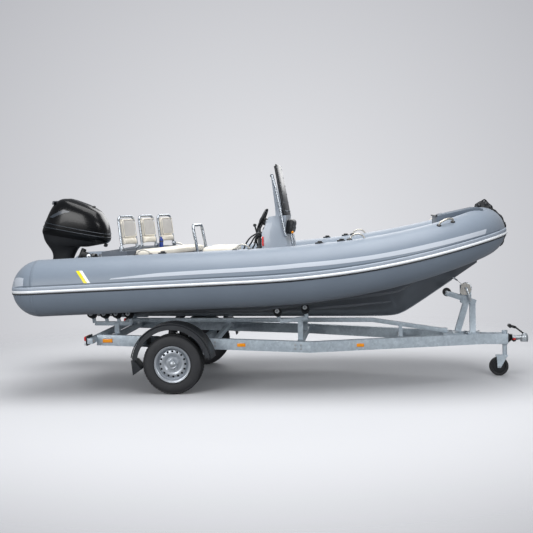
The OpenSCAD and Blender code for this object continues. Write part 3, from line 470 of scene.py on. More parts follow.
def rounded_box(low: Point, high: Point, radius: float = 0.006, segments: int = 2) -> Shell:
    """Makes a box with rounded edges."""
    work = bmesh.new()
    bmesh.ops.create_cube(work, size=1.0)
    size = Vector(high) - Vector(low)
    middle = (Vector(high) + Vector(low)) / 2
    for v in work.verts:
        v.co = vec(v.co.x * size.x, v.co.y * size.y, v.co.z * size.z) + middle
    bmesh.ops.bevel(work, geom=work.edges[:], offset=min(radius, min(size) * 0.45), segments=segments,
        profile=0.5, affect="EDGES")
    shell = Shell([v.co.copy() for v in work.verts], [[v.index for v in f.verts] for f in work.faces])
    work.free()
    return shell


def rounded_bar(a: Point, b: Point, width: float, height: float, radius: float = 0.004) -> Shell:
    """Makes a rounded bar between two points, its width across the boat."""
    a, b = Vector(a), Vector(b)
    shell = rounded_box((0, -width / 2, -height / 2), ((b - a).length, width / 2, height / 2), radius)
    turn = FORE.rotation_difference(b - a).to_matrix().to_4x4()
    return shell.moved(Matrix.Translation(a) @ turn)


def side_box(s: int, x: tuple[float, float], y: tuple[float, float], z: tuple[float, float],
        radius: float) -> Shell:
    """Makes a rounded box between stations x, breadths y on side s, and heights z."""
    near, far = sorted((s * y[0], s * y[1]))
    return rounded_box(st(x[0], near, z[0]), st(x[1], far, z[1]), radius)


def slab(outline: Table, low: float, high: float, plane: str = "xz") -> Shell:
    """Gives thickness to a flat outline.

    Args:
        outline: the points in the plane.
        low, high: where the slab begins and ends across the plane.
        plane: "xz" for a slab across the boat, "xy" for a level one.
    Returns:
        The slab.
    """
    def put(p: tuple[float, float], w: float) -> tuple[float, float, float]:
        """Places one outline point."""
        return (p[0], w, p[1]) if plane == "xz" else (p[0], p[1], w)
    return loft([[put(p, low) for p in outline], [put(p, high) for p in outline]])


# ---- Geometry Nodes ---------------------------------------------------------
class Item(Enum):
    """What is set on each point of a stud tree."""
    HEX = 6
    DOME = 16
    BLOCK = 4


def stud_tree(item: Item) -> bpy.types.GeometryNodeTree:
    """Builds the tree that sets a small solid on every point, turned by the attribute "turn".

    Args:
        item: the solid's kind.
    Returns:
        The tree, with inputs Width, Length, Height and Finish.
    """
    name = f"studs {item.name.lower()}"
    if name in bpy.data.node_groups:
        return bpy.data.node_groups[name]
    tree = bpy.data.node_groups.new(name, "GeometryNodeTree")
    face = tree.interface
    face.new_socket("Points", in_out="INPUT", socket_type="NodeSocketGeometry")
    for label in ("Width", "Length", "Height"):
        face.new_socket(label, in_out="INPUT", socket_type="NodeSocketFloat")
    face.new_socket("Finish", in_out="INPUT", socket_type="NodeSocketMaterial")
    face.new_socket("Studs", in_out="OUTPUT", socket_type="NodeSocketGeometry")
    given = add_node(tree, "NodeGroupInput").outputs
    if item is Item.BLOCK:
        size = add_node(tree, "ShaderNodeCombineXYZ", {0: given["Width"], 1: given["Length"],
            2: given["Height"]})
        solid = add_node(tree, "GeometryNodeMeshCube", {"Size": size.outputs[0]})
    elif item is Item.HEX:
        solid = add_node(tree, "GeometryNodeMeshCylinder", {"Vertices": item.value, "Radius": given["Width"],
            "Depth": given["Height"]})
    else:
        ball = add_node(tree, "GeometryNodeMeshUVSphere", {"Segments": item.value, "Rings": 8,
            "Radius": given["Width"]})
        flat = add_node(tree, "ShaderNodeCombineXYZ", {0: 1.0, 1: 1.0, 2: given["Height"]})
        solid = add_node(tree, "GeometryNodeTransform",
            {"Geometry": ball.outputs[0], "Scale": flat.outputs[0]})
    turn = add_node(tree, "GeometryNodeInputNamedAttribute", {"Name": "turn"}, data_type="FLOAT_VECTOR")
    spin = add_node(tree, "FunctionNodeEulerToRotation", {0: turn.outputs[0]})
    spread = add_node(tree, "GeometryNodeInstanceOnPoints", {"Points": given["Points"],
        "Instance": solid.outputs[0], "Rotation": spin.outputs[0]})
    real = add_node(tree, "GeometryNodeRealizeInstances", {0: spread.outputs[0]})
    worn = add_node(tree, "GeometryNodeSetMaterial",
        {"Geometry": real.outputs[0], "Material": given["Finish"]})
    add_node(tree, "NodeGroupOutput", {0: worn.outputs[0]})
    return tree


def studs(name: str, places: Sequence[tuple[Point, Point]], item: Item, sizes: tuple[float, float, float],
        finish: Finish, body: str = ROOT, along: Point | None = None) -> bpy.types.Object:
    """Sets a small solid at every place.

    Args:
        name: the piece's name.
        places: pairs of a point and the direction that the solid faces.
        item: the solid's kind.
        sizes: width or radius, length and height.
        finish: its finish.
        body: the body it rides on.
        along: a direction that the solid's Y axis keeps to, or None.
    Returns:
        The finished piece.
    """
    mesh = bpy.data.meshes.new(name + "_points")
    mesh.from_pydata([Vector(p) for p, _ in places], [], [])
    turns = []
    for _, facing in places:
        z = Vector(facing).normalized()
        if along is None:
            euler = z.to_track_quat("Z", "Y").to_euler()
        else:
            y = (Vector(along) - z * Vector(along).dot(z)).normalized()
            euler = Matrix((y.cross(z), y, z)).transposed().to_euler()
        turns += list(euler)
    mesh.attributes.new("turn", "FLOAT_VECTOR", "POINT").data.foreach_set("vector", turns)
    holder = link_mesh(name + "_holder", mesh)
    tree = stud_tree(item)
    made_by = holder.modifiers.new("studs", "NODES")
    made_by.node_group = tree
    values = dict(zip(("Width", "Length", "Height"), sizes)) | {"Finish": finish.build()}
    for socket in tree.interface.items_tree:
        if socket.in_out == "INPUT" and socket.name in values:
            made_by[socket.identifier] = values[socket.name]
    graph = bpy.context.evaluated_depsgraph_get()
    plain = bpy.data.meshes.new_from_object(holder.evaluated_get(graph), depsgraph=graph)
    bpy.data.objects.remove(holder)
    if not plain.materials:
        plain.materials.append(finish.build())
    made = link_mesh(name, plain)
    settle(made, body)
    return made


# ---- The tube's line --------------------------------------------------------
def stage(x: float, low: float, high: float) -> float:
    """Tells how far x has come from low to high, as a share from 0 to 1."""
    return min(1.0, max(0.0, (x - low) / (high - low)))


@dataclass(frozen=True)
class Section:
    """One cut across the tube: its station, centre, outward direction and radius."""
    station: float
    centre: Vector
    outward: Vector
    radius: float

    def at(self, degrees: float, grow: float = 0.0) -> Vector:
        """Gives the skin's point at an angle above the outward direction, stood off by grow."""
        a = math.radians(degrees)
        reach = self.radius + grow
        return self.centre + self.outward * (reach * math.cos(a)) + Vector((0, 0, reach * math.sin(a)))


@dataclass(frozen=True)
class TubeLine:
    """The U-shaped centre line of the inflated tube."""
    radius: float = 0.31
    bow_radius: float = 0.265
    half_beam: float = 0.9
    stern: float = -1.45
    cone: float = 0.31
    bend: float = 1.5
    nose: float = 3.37
    height: float = 1.205
    slope: float = 0.03
    rise: float = 0.345
    rise_from: float = 0.8
    power: float = 2.3

    def z(self, x: float) -> float:
        """Height of the centre line at a station."""
        return self.height + self.slope * x + self.rise * stage(x, self.rise_from, self.nose) ** self.power

    def r(self, x: float) -> float:
        """Radius of the tube at a station."""
        if x < self.stern:
            return self.radius * math.sqrt(max(0.003, 1 - ((self.stern - x) / self.cone) ** 2))
        return self.radius + (self.bow_radius - self.radius) * stage(x, self.bend, self.nose)

    def y(self, x: float) -> float:
        """Distance of the centre line from the boat's centre plane."""
        if x <= self.bend:
            return self.half_beam
        part = 1 - ((x - self.bend) / (self.nose - self.bend)) ** self.power
        return self.half_beam * max(0.0, part) ** (1 / self.power)

    def top(self, x: float) -> float:
        """Height of the tube's crown."""
        return self.z(x) + self.r(x)

    def half(self, step: float = 0.04) -> list[tuple[float, float]]:
        """Gives (station, half breadth) from the stern to just short of the nose, about a step apart."""
        out = [(self.stern - self.cone * math.sin(math.radians(a)), self.half_beam)
            for a in (84, 78, 72, 66, 60, 54, 48, 40, 32, 24, 16, 8)]
        count = round((self.bend - self.stern) / step)
        out += [(self.stern + (self.bend - self.stern) * k / count, self.half_beam) for k in range(count)]
        last = (self.bend - step, self.half_beam)
        for k in range(2000):
            turn = math.radians(k * 89.2 / 1999)
            here = (self.bend + (self.nose - self.bend) * math.sin(turn) ** (2 / self.power),
                self.half_beam * math.cos(turn) ** (2 / self.power))
            if math.dist(here, last) >= step:
                out.append(here)
                last = here
        return out

    def sections(self, step: float = 0.04) -> list[Section]:
        """Cuts the whole tube, starboard stern to nose to port stern."""
        half = self.half(step)
        line = [(x, -y) for x, y in half] + [(self.nose, 0.0)] + [(x, y) for x, y in reversed(half)]
        out = []
        for i, (x, y) in enumerate(line):
            a, b = line[max(0, i - 1)], line[min(len(line) - 1, i + 1)]
            ahead = vec(b[0] - a[0], b[1] - a[1], 0).normalized()
            out.append(Section(x, st(x, y, self.z(x)), vec(ahead.y, -ahead.x, 0), self.r(x)))
        return out


TUBE = TubeLine()


def between(x: float, table: Table) -> float:
    """Reads a value from a table of (station, value) pairs by straight lines."""
    if x <= table[0][0]:
        return table[0][1]
    for (xa, va), (xb, vb) in zip(table, table[1:]):
        if x <= xb:
            return va + (vb - va) * (x - xa) / (xb - xa)
    return table[-1][1]


@dataclass
class Tubes:
    """The inflated collar with its stripes, rail and fittings."""
    sides: int = 72
    stripe_top: tuple = ((-0.6, 16.5), (-0.1, 22.7), (0.15, 23.5), (1.41, 26.0), (2.1, 23.6), (2.66, 23.2),
        (3.2, 20.9))
    stripe_low: tuple = ((-0.6, 14.4), (-0.1, 15.4), (0.15, 15.9), (1.41, 17.2), (2.1, 14.8), (2.66, 12.9),
        (3.2, 11.0))
    handle_stations: tuple = (-0.3, 0.78, 2.0)
    cleat_stations: tuple = (-0.09, 1.6, 1.83)
    cuts: list[Section] = field(default_factory=lambda: TUBE.sections())

    def build(self) -> None:
        """Makes every piece of the collar."""
        skin = loft([[c.at(k * 360 / self.sides) for k in range(self.sides)] for c in self.cuts])
        piece("tube_skin", [skin], TUBE_CLOTH, replaces=["tube_collar"])
        self.rail()
        self.stripes()
        self.handles()

    def strip(self, low: Table, high: Table, start: float, end: float, side: int, stand: float = 0.0016,
            lean: float = 0.0, cells: int = 6) -> Shell:
        """Lays a thin strip of cloth on one side of the tube.

        Args:
            low, high: tables of the edges' angles by station.
            start, end: stations of its ends at the lower edge.
            side: -1 for starboard, 1 for port.
            stand: how far its face stands off the tube.
            lean: how far the upper edge is shifted along the tube.
            cells: divisions of its width.
        Returns:
            The strip's shell.
        """
        count = max(3, round(abs(end - start) / 0.035))
        rings = []
        for i in range(count + 1):
            x = start + (end - start) * i / count
            face, back = [], []
            bottom, top = between(x, low), between(x, high)
            for k in range(cells + 1):
                angle = bottom + (top - bottom) * k / cells
                here = self.cut(x + lean * k / cells, side)
                face.append(here.at(angle, stand))
                back.append(here.at(angle, -0.004))
            rings.append(face + back[::-1])
        return loft(rings)

    def cut(self, x: float, side: int) -> Section:
        """Cuts the tube at any station of one side."""
        x = min(x, TUBE.nose - 0.002)
        d = 0.002
        if x <= TUBE.bend:
            out = vec(0, side, 0)
        else:
            slope = (TUBE.y(min(x + d, TUBE.nose)) - TUBE.y(x - d)) / (min(x + d, TUBE.nose) - x + d)
            out = vec(-slope, side, 0).normalized()
        return Section(x, st(x, side * TUBE.y(x), TUBE.z(x)), out, TUBE.r(x))

    def band(self, outline: Table) -> Shell:
        """Runs a rail section, as (depth, height) pairs, round the whole collar."""
        return loft([[c.centre + c.outward * (c.radius + d) + vec(0, 0, h) for d, h in outline]
            for c in self.cuts])

    def rail(self) -> None:
        """Makes the rub rail: a pale base strip, a white bead and a near-black strip under it that is partly
        a painted shadow of the bead.
        """
        base = [(-0.02, -0.004), (0.008, -0.004), (0.0135, 0.002), (0.0145, 0.014), (0.012, 0.028),
            (0.004, 0.035), (-0.02, 0.036)]
        bead = [(-0.02, -0.032)] + [(0.004 + 0.0215 * math.cos(a), -0.0165 + 0.0165 * math.sin(a))
            for a in arc(-90, 91, 15)] + [(-0.02, 0.0)]
        # Near-black strip under the bead: partly rubber, partly a painted shadow of the bead.
        dark_strip_and_shade = [(-0.02, -0.045), (0.006, -0.045), (0.011, -0.041), (0.011, -0.034), (0.006, -0.031),
            (-0.02, -0.031)]
        piece("rub_rail_base", [self.band(base)], RAIL_GREY, replaces=["rub_rail"])
        piece("rub_rail_bead", [self.band(bead)], RAIL_WHITE, sharp=60)
        piece("rub_rail_keeper", [self.band(dark_strip_and_shade)], BLACK_PLASTIC)

    def stripes(self) -> None:
        """Lays the wide pale stripes, the dark welts, the slanted pair and the stern patches."""
        pale, welt, yellow, white, patch = [], [], [], [], []
        for s in SIDES:
            pale.append(self.strip(self.stripe_low, self.stripe_top, -0.6, 3.165, s, lean=0.018))
            welt.append(self.strip(((0, 7.9),), ((0, 9.6),), -1.55, 3.3, s, 0.003, cells=2))
            yellow.append(self.strip(((0, 9.0),), ((0, 36.0),), -0.874, -0.838, s, lean=-0.102, cells=10))
            white.append(self.strip(((0, 9.0),), ((0, 36.0),), -0.836, -0.804, s, lean=-0.102, cells=10))
            patch.append(self.strip(((0, 10.5),), ((-1.74, 44), (-1.55, 27)), -1.74, -1.55, s, cells=8))
        piece("pale_stripes", pale, STRIPE_CLOTH)
        piece("dark_welts", welt, WELT_CLOTH)
        piece("yellow_slashes", yellow, YELLOW_FILM)
        piece("white_slashes", white, WHITE_FILM)
        piece("stern_patches", patch, STRIPE_CLOTH)
        seams = [loft([[self.cut(-1.46 + dx, s).at(k * 10, stand) for k in range(36)]
            for dx, stand in ((-0.022, -0.002), (-0.02, 0.0012), (0.02, 0.0012), (0.022, -0.002))])
            for s in SIDES]
        piece("tube_seam_tapes", seams, TUBE_CLOTH, sharp=60)

    def handles(self) -> None:
        """Makes the hoop handles, their pads, and the small black cleats on the tubes."""
        hoops, pads, cleats = [], [], []
        for s in SIDES:
            for x in self.handle_stations:
                y, top = s * TUBE.y(x), TUBE.top(x)
                span = [st(x + 0.085 * math.cos(a), y, top - 0.033 + 0.085 * math.sin(a))
                    for a in arc(14, 167, 8)]
                hoops.append(sweep(span, circle(0.0085, 12)))
                for e in SIDES:
                    foot = st(x + e * 0.083, y, top - 0.006)
                    pads.append(lathe([(0, -0.006), (0.034, -0.006), (0.034, 0.002), (0.026, 0.008),
                        (0.012, 0.016), (0, 0.018)], foot, UP, 24))
            for x in self.cleat_stations:
                y, top = s * TUBE.y(x), TUBE.top(x)
                cleats.append(rounded_box(st(x - 0.045, y - 0.022, top - 0.006),
                    st(x + 0.045, y + 0.022, top + 0.012), 0.006))
                cleats.append(rounded_box(st(x - 0.02, y - 0.014, top + 0.01),
                    st(x + 0.03, y + 0.014, top + 0.026), 0.006))
        for s in SIDES:
            cut = self.cut(2.88, s)
            foot = [self.cut(2.81, s).at(66, 0.0), self.cut(2.95, s).at(66, 0.0)]
            up = (cut.at(66, 0.1) - cut.at(66, 0)).normalized()
            crest = [foot[0] + up * 0.035 + (foot[1] - foot[0]) * 0.08, (foot[0] + foot[1]) / 2 + up * 0.052,
                foot[1] + up * 0.035 - (foot[1] - foot[0]) * 0.08]
            hoops.append(sweep(smooth_line([foot[0], *crest, foot[1]]), circle(0.011, 12),
                (foot[1] - foot[0]).cross(up)))
            pads += [lathe([(0, -0.004), (0.026, -0.004), (0.024, 0.006), (0, 0.01)], f, up, 24)
                for f in foot]
        piece("grab_hoops", hoops, HANDLE_METAL, replaces=["grab_handles"])
        piece("hoop_pads", pads, BLACK_PLASTIC)
        piece("tube_cleats", cleats, BLACK_PLASTIC)


@dataclass
class Hull:
    """The rigid bottom up to the foredeck, its spray rails, keel band and transom fittings."""
    transom: float = -1.12
    keel: float = 0.745
    stem: float = 2.45
    stem_round: float = 0.09
    stem_slope: float = 0.69
    deadrise: float = 15.0
    foredeck: float = 1.7
    deck: float = 1.05

    def keel_z(self, x: float) -> float:
        """Height of the keel."""
        d = x - self.stem
        return (self.keel - 0.0138 * (x - self.transom)
            + self.stem_slope * (math.hypot(d, self.stem_round) + d) / 2)

    def rise(self, x: float) -> float:
        """Slope of the bottom at a station."""
        return math.tan(math.radians(self.deadrise + 29 * stage(x, 0.9, 3.2) ** 0.9))

    def chine(self, x: float) -> float:
        """Half breadth of the bottom at a station."""
        return max(0.014, TUBE.y(x) - 0.78 * TUBE.r(x))

    def bottom(self, x: float, share: float) -> Vector:
        """Gives the bottom's point at a share of the half breadth, to port."""
        y = self.chine(x) * share
        crown = 0.012 * math.sin(math.pi * min(1.0, share)) * min(1.0, self.chine(x) / 0.3)
        return st(x, y, self.keel_z(x) + y * self.rise(x) - crown)

    def ring(self, x: float, deck: bool) -> list[Vector]:
        """Gives one closed section of the hull, up to the foredeck where deck is true."""
        steps = [k / 10 for k in range(11)]
        half = [self.bottom(x, t) for t in steps]
        top = TUBE.z(x) - 0.04 if deck else max(self.deck - 0.001, half[-1].z + 0.006)
        half.append(Vector((half[-1].x, self.chine(x) + 0.06, top)))
        return half + [vec(p.x, -p.y, p.z) for p in reversed(half[1:])]

    def build(self) -> None:
        """Makes the hull's pieces."""
        stations = [self.transom + (self.foredeck - 0.001 - self.transom) * k / 60 for k in range(61)]
        rings = [self.ring(x, False) for x in stations]
        rings += [self.ring(self.foredeck + (3.33 - self.foredeck) * k / 60, True) for k in range(61)]
        piece("hull_shell", [loft(rings)], HULL_GELCOAT, replaces=["hull"], sharp=30)
        self.strakes()
        self.stern_drains()

    def strakes(self) -> None:
        """Makes the spray rails, the keel band and the outer chine."""
        rails = []
        for share, start, end in ((0.42, -1.1, 2.35), (0.7, -1.1, 2.62), (0.97, -1.1, 2.9)):
            for s in SIDES:
                rings = []
                for k in range(61):
                    x = start + (end - start) * k / 60
                    fade = min(1.0, 8 * (1 - k / 60) + 0.05)
                    p, q = self.bottom(x, share), self.bottom(x, share + 0.075)
                    edge = Vector((q.x, q.y, p.z + (q.z - p.z) * (1 - 0.9 * fade)))
                    ring = [p + vec(0, 0, 0.004), vec(edge.x, edge.y, edge.z - 0.004), q + vec(0, 0, 0.006)]
                    rings.append([vec(v.x, s * v.y, v.z) for v in ring])
                rails.append(loft(rings))
        band = []
        for k in range(90):
            x = -1.1 + 4.15 * k / 89
            z = self.keel_z(x)
            band.append([st(x, -0.016, z + 0.01), st(x, -0.012, z - 0.004), st(x, 0.012, z - 0.004),
                st(x, 0.016, z + 0.01)])
        piece("spray_rails", rails, HULL_GELCOAT, sharp=25)
        piece("keel_band", [loft(band)], STAINLESS)

    def stern_drains(self) -> None:
        """Makes the drain sockets and the towing eyes on the transom."""
        back = self.transom - 0.0605
        drains = [lathe([(0.022, 0), (0.03, 0), (0.03, 0.008), (0.022, 0.012)], st(back, s * 0.42, 0.96),
            (-1, 0, 0), 32) for s in SIDES]
        eyes = [pipe([st(back + 0.01, s * 0.52, 1.16 + e * 0.03) if i in (0, 4) else
            st(back - (0.035 if i == 2 else 0.028), s * 0.52, 1.16 + e * 0.03)
            for i, e in enumerate((-1, -0.9, 0, 0.9, 1))], 0.006) for s in SIDES]
        piece("transom_fittings", drains + eyes, STAINLESS)


@dataclass
class Bow:
    """The step's trim and hatch, the anchor roller, its straps and the bow eye."""
    fitting: float = 3.4

    def build(self) -> None:
        """Makes the bow's pieces."""
        x0, top = self.fitting, TUBE.top(self.fitting)
        edge = ((-0.09, -0.02), (-0.075, 0.035), (-0.02, 0.068), (0.045, 0.058), (0.1, 0.012),
            (0.115, -0.05), (0.02, -0.035))
        cheeks = [slab([(x0 + dx - MID, top + dz) for dx, dz in edge], s * 0.062, s * 0.074) for s in SIDES]
        base = rounded_box(st(x0 - 0.03, -0.08, top - 0.055), st(x0 + 0.1, 0.08, top + 0.008), 0.016, 3)
        roller = lathe(both_ways([(0, -0.055), (0.034, -0.055), (0.028, -0.03), (0.018, 0)]),
            st(x0 + 0.03, 0, top + 0.034), turns=32)
        knobs = [lathe([(0, 0), (0.018, 0), (0.018, 0.012), (0.008, 0.02), (0, 0.02)],
            st(x0 + dx, s * 0.074, top + dz), (0, s, 0), 20)
            for s in SIDES for dx, dz in ((-0.045, 0.02), (0.03, 0.034), (0.075, 0.0))]
        pin = pipe([st(x0 - 0.02, -0.05, top + 0.062), st(x0 + 0.02, 0, top + 0.082),
            st(x0 + 0.05, 0.05, top + 0.066)], 0.009, side=UP)
        piece("anchor_roller", cheeks + [base, roller, pin] + knobs, BLACK_PLASTIC,
            replaces=["bow_fitting"])
        straps = []
        for y, width in ((-0.05, 0.05), (0.04, 0.04)):
            line = []
            for k in range(22):
                a = math.radians(82 - 122 * k / 21)
                reach = TUBE.r(TUBE.nose) + 0.01 + 0.005 * math.sin(k * 1.7)
                line.append(st(TUBE.nose + reach * math.cos(a) - 0.3 * y * y, y + 0.012 * math.sin(k * 0.5),
                    TUBE.z(TUBE.nose) + reach * math.sin(a)))
            straps.append(sweep(line, band_section(width, 0.012)))
        reach, z = vec(0.012, 0.028, 0.02), TUBE.z(TUBE.nose)
        buckle = [rounded_box(p - reach, p + reach, 0.005) for p in
            (st(TUBE.nose + 0.262, -0.045, z + 0.07), st(TUBE.nose + 0.255, 0.045, z + 0.1))]
        piece("bow_straps", straps, WEBBING)
        piece("bow_buckles", buckle, BLACK_PLASTIC)
        self.step_trim()
        self.eye()

    def step_trim(self) -> None:
        """Makes the dark edge trim of the moulded step."""
        x, half = 2.84, 0.37
        line = [st(x + 0.02, y, TUBE.top(x) + 0.066) for y in (-half, -0.2, 0, 0.2, half)]
        trim = pipe(line, 0.012, side=UP)
        piece("bow_step_trim", [trim], BLACK_PLASTIC)
        top = TUBE.top(x) + 0.067
        drop = (TUBE.top(3.3) + 0.008 - TUBE.top(x) - 0.065) / (3.3 - x - 0.025)
        place = Matrix.Translation(st(x + 0.07, 0, top + 0.045 * drop))
        lid = rounded_box((0, -0.27, 0), (0.33, 0.27, 0.006), 0.0028).moved(
            place @ Matrix.Rotation(-math.atan(drop), 4, "Y"))
        latches = [lathe([(0, 0), (0.022, 0), (0.022, 0.003), (0.017, 0.005), (0, 0.005)],
            st(x + 0.105, s * 0.2, top + 0.006 + 0.08 * drop), UP, 28) for s in SIDES]
        piece("bow_hatch", [lid], STEP_PLASTIC)
        piece("bow_hatch_latches", latches, STAINLESS)

    def eye(self) -> None:
        """Makes the bow eye that the winch strap is hooked to."""
        at = st(3.065, 0, 1.125)
        ahead = vec(0.82, 0, -0.57)
        hoop = [at - ahead * 0.01 + vec(0, -0.03, 0), at + ahead * 0.03 + vec(0, -0.029, 0),
            at + ahead * 0.052, at + ahead * 0.03 + vec(0, 0.029, 0), at - ahead * 0.01 + vec(0, 0.03, 0)]
        piece("bow_eye", [pipe(hoop, 0.008, side=vec(0.57, 0, 0.82))], STAINLESS)


# ---- Soft goods -------------------------------------------------------------
PAD_PRESSURE = 4.0
PAD_FRAMES = 20


def inflate(shell: Shell, voxel: float, cap: float) -> bpy.types.Mesh:
    """Puffs a plain pad by a short cloth simulation.

    Args:
        shell: the plain shape.
        voxel: mesh spacing.
        cap: how far a point may move.
    Returns:
        The puffed mesh.
    """
    source = link_mesh("pad_start", clean_mesh("pad_start", [shell]))
    remesh = source.modifiers.new("remesh", "REMESH")
    remesh.mode = "VOXEL"
    remesh.voxel_size = voxel
    graph = bpy.context.evaluated_depsgraph_get()
    fine = bpy.data.meshes.new_from_object(source.evaluated_get(graph), depsgraph=graph)
    bpy.data.objects.remove(source)
    pad = link_mesh("pad_trial", fine.copy())
    cloth = pad.modifiers.new("cloth", "CLOTH")
    cloth.settings.use_pressure = True
    cloth.settings.uniform_pressure_force = PAD_PRESSURE
    cloth.settings.effector_weights.gravity = 0
    cloth.settings.quality = 4
    cloth.settings.tension_stiffness = 20
    cloth.settings.compression_stiffness = 20
    cloth.point_cache.frame_start, cloth.point_cache.frame_end = 1, PAD_FRAMES
    scene = bpy.context.scene
    for number in range(1, PAD_FRAMES + 1):
        scene.frame_set(number)
    graph = bpy.context.evaluated_depsgraph_get()
    puffed = bpy.data.meshes.new_from_object(pad.evaluated_get(graph), depsgraph=graph)
    bpy.data.objects.remove(pad)
    for before, after in zip(fine.vertices, puffed.vertices):
        step = after.co - before.co
        if step.length > cap:
            after.co = before.co + step.normalized() * cap
    scene.frame_set(1)
    return puffed


def finish_pad(name: str, mesh: bpy.types.Mesh, finishes: Sequence[Finish], body: str,
        replaces: Sequence[str]) -> bpy.types.Object:
    mesh.materials.clear()
    for finish in finishes:
        mesh.materials.append(finish.build())
    mesh.polygons.foreach_set("use_smooth", [True] * len(mesh.polygons))
    made = link_mesh(name, mesh)
    round_off = made.modifiers.new("round", "SUBSURF")
    round_off.levels = round_off.render_levels = 1
    settle(made, body, replaces)
    return made


@dataclass
class Seats:
    """The bench, helm and bow cushions and the three folding backrests."""
    seat_top: float = 1.47
    pitch: float = 0.48
    stagger: float = 0.11
    hinge_x: float = -0.45
    hinge_z: float = 1.57
    lean: float = 6.0
    half: float = 0.1657
    back_low: float = 0.03
    split: float = 0.108
    back_top: float = 0.3357
    thick: float = 0.052

    def build(self) -> None:
        """Makes all the cushions."""
        skew = self.stagger / self.pitch
        back, front, side = self.hinge_x + 0.116, -0.036, 0.61
        outline = [(back - side * skew - MID, -side), (front - side * skew - MID, -side),
            (front + side * skew - MID, side), (back + side * skew - MID, side)]
        bench = slab(outline, self.seat_top + 0.004, self.seat_top + 0.064, "xy")
        self.cushion("bench_cushion", bench, (-0.24, 0.24), ["cushions"])
        helm = rounded_box(st(0.228, -0.322, self.seat_top + 0.004), st(0.612, 0.322, self.seat_top + 0.066),
            0.02, 3)
        self.cushion("helm_cushion", helm, (0.0,), [])
        self.bow_pad()
        self.lids(skew)
        for i, name in ((-1, "starboard"), (0, "centre"), (1, "port")):
            self.backrest(i, name)

    def cushion(self, name: str, shell: Shell, seams: Sequence[float], replaces: Sequence[str]) -> None:
        """Puffs one seat cushion and sews its channels.

        Args:
            name: the piece's name.
            shell: the plain shape.
            seams: places of the sewn channels across the boat.
            replaces: nodes it stands for.
        """
        mesh = inflate(shell, 0.013, 0.016)
        for v in mesh.vertices:
            v.co.z = max(v.co.z, self.seat_top + 0.002)
            if v.co.z > self.seat_top + 0.02:
                v.co.z -= sum(0.014 * math.exp(-((v.co.y - place) / 0.012) ** 2) for place in seams)
        finish_pad(name, mesh, [CREAM_VINYL], ROOT, replaces)

    def lids(self, skew: float) -> None:
        """Makes the two locker lids behind the backrests, with their flush latches.

        Args:
            skew: how far forward the bench runs for each metre to port.
        """
        lids, latches = [], []
        for y0, y1 in ((-0.68, -0.03), (0.03, 0.68)):
            outline = [(max(x + y * skew, -0.775) - MID, y)
                for x, y in ((-0.76, y0), (-0.53, y0), (-0.53, y1), (-0.76, y1))]
            lids.append(slab(outline, 1.5382, 1.5425, "xy"))
            mid = (y0 + y1) / 2
            latches.append(lathe([(0, 0), (0.02, 0), (0.02, 0.003), (0, 0.004)],
                st(-0.56 + mid * skew, mid, 1.5425), UP, 28))
        piece("bench_lids", lids, BENCH_GELCOAT)
        piece("bench_latches", latches, STAINLESS)

    def bow_pad(self) -> None:
        """Puffs the pad on the foredeck, which rises with the deck."""
        rings = []
        for k in range(13):
            x = 1.775 + 0.9 * k / 12
            half = max(0.1, TUBE.y(x) - TUBE.r(x) - 0.02)
            z = TUBE.z(x) - 0.036
            rings.append([st(x, -half, z), st(x, half, z), st(x, half, z + 0.056), st(x, 0, z + 0.062),
                st(x, -half, z + 0.056)])
        mesh = inflate(loft(rings), 0.013, 0.014)
        for v in mesh.vertices:
            x = v.co.x + MID
            if v.co.z > TUBE.z(x) + 0.005:
                v.co.z -= 0.012 * math.exp(-((x - 2.25) / 0.012) ** 2)
                v.co.z -= 0.012 * math.exp(-(v.co.y / 0.012) ** 2)
        finish_pad("bow_cushion", mesh, [CREAM_VINYL], ROOT, [])

    def place(self, i: int) -> Matrix:
        """Gives the matrix from a backrest's own axes to the frame."""
        at = st(self.hinge_x + i * self.stagger, i * self.pitch, self.hinge_z)
        turn = -math.atan(self.stagger / self.pitch)
        return (Matrix.Translation(at) @ Matrix.Rotation(turn, 4, "Z")
            @ Matrix.Rotation(math.radians(-self.lean), 4, "Y"))

    def backrest(self, i: int, name: str) -> None:
        """Puffs one backrest pad: a grey panel in a cream border over a cream strip."""
        t = self.thick / 2
        h, low, top = self.half - 0.006, self.back_low, self.back_top - 0.006
        outline = [(-h, low), (h, low), (h, top - 0.05), (h - 0.045, top), (-h + 0.045, top),
            (-h, top - 0.05)]
        shell = loft([[(dx, y, z) for y, z in outline] for dx in (-t, t)])
        mesh = inflate(shell, 0.009, 0.01)
        grey = []
        for v in mesh.vertices:
            dip = math.exp(-((v.co.z - self.split) / 0.009) ** 2)
            v.co.x *= 1 - 0.5 * dip
        for f in mesh.polygons:
            c = f.center
            inside = abs(c.y) < h - 0.014 and self.split + 0.01 < c.z < top - 0.012
            grey.append(1 if inside and c.x > 0 and f.normal.x > 0.5 else 0)
        mesh.transform(self.place(i))
        body = "seat_back_" + name
        made = finish_pad("seat_back_pad_" + name, mesh, [CREAM_VINYL, GREY_VINYL], body,
            ["backrest_pad_" + name])
        made.data.polygons.foreach_set("material_index", grey)
        y, z0, z1, x = h - 0.02, self.split + 0.014, top - 0.02, t + 0.0065
        loop = [vec(x, a, b) for a, b in ((-y, z0), (y, z0), (y, z1), (-y, z1))]
        line = []
        for k in range(4):
            line += [loop[k].lerp(loop[(k + 1) % 4], 0.04 + 0.92 * j / 7) for j in range(8)]
        piping = sweep(line, circle(0.004, 8), FORE, closed=True).moved(self.place(i))
        piece("seat_back_piping_" + name, [piping], CREAM_VINYL, body)
        knuckle = both_ways([(0, -0.019), (0.012, -0.019), (0.018, -0.014)])
        caps = [lathe(knuckle, (0, s * 0.18, 0), turns=24).moved(self.place(i)) for s in SIDES]
        piece("seat_back_knuckles_" + name, caps, STAINLESS, body)


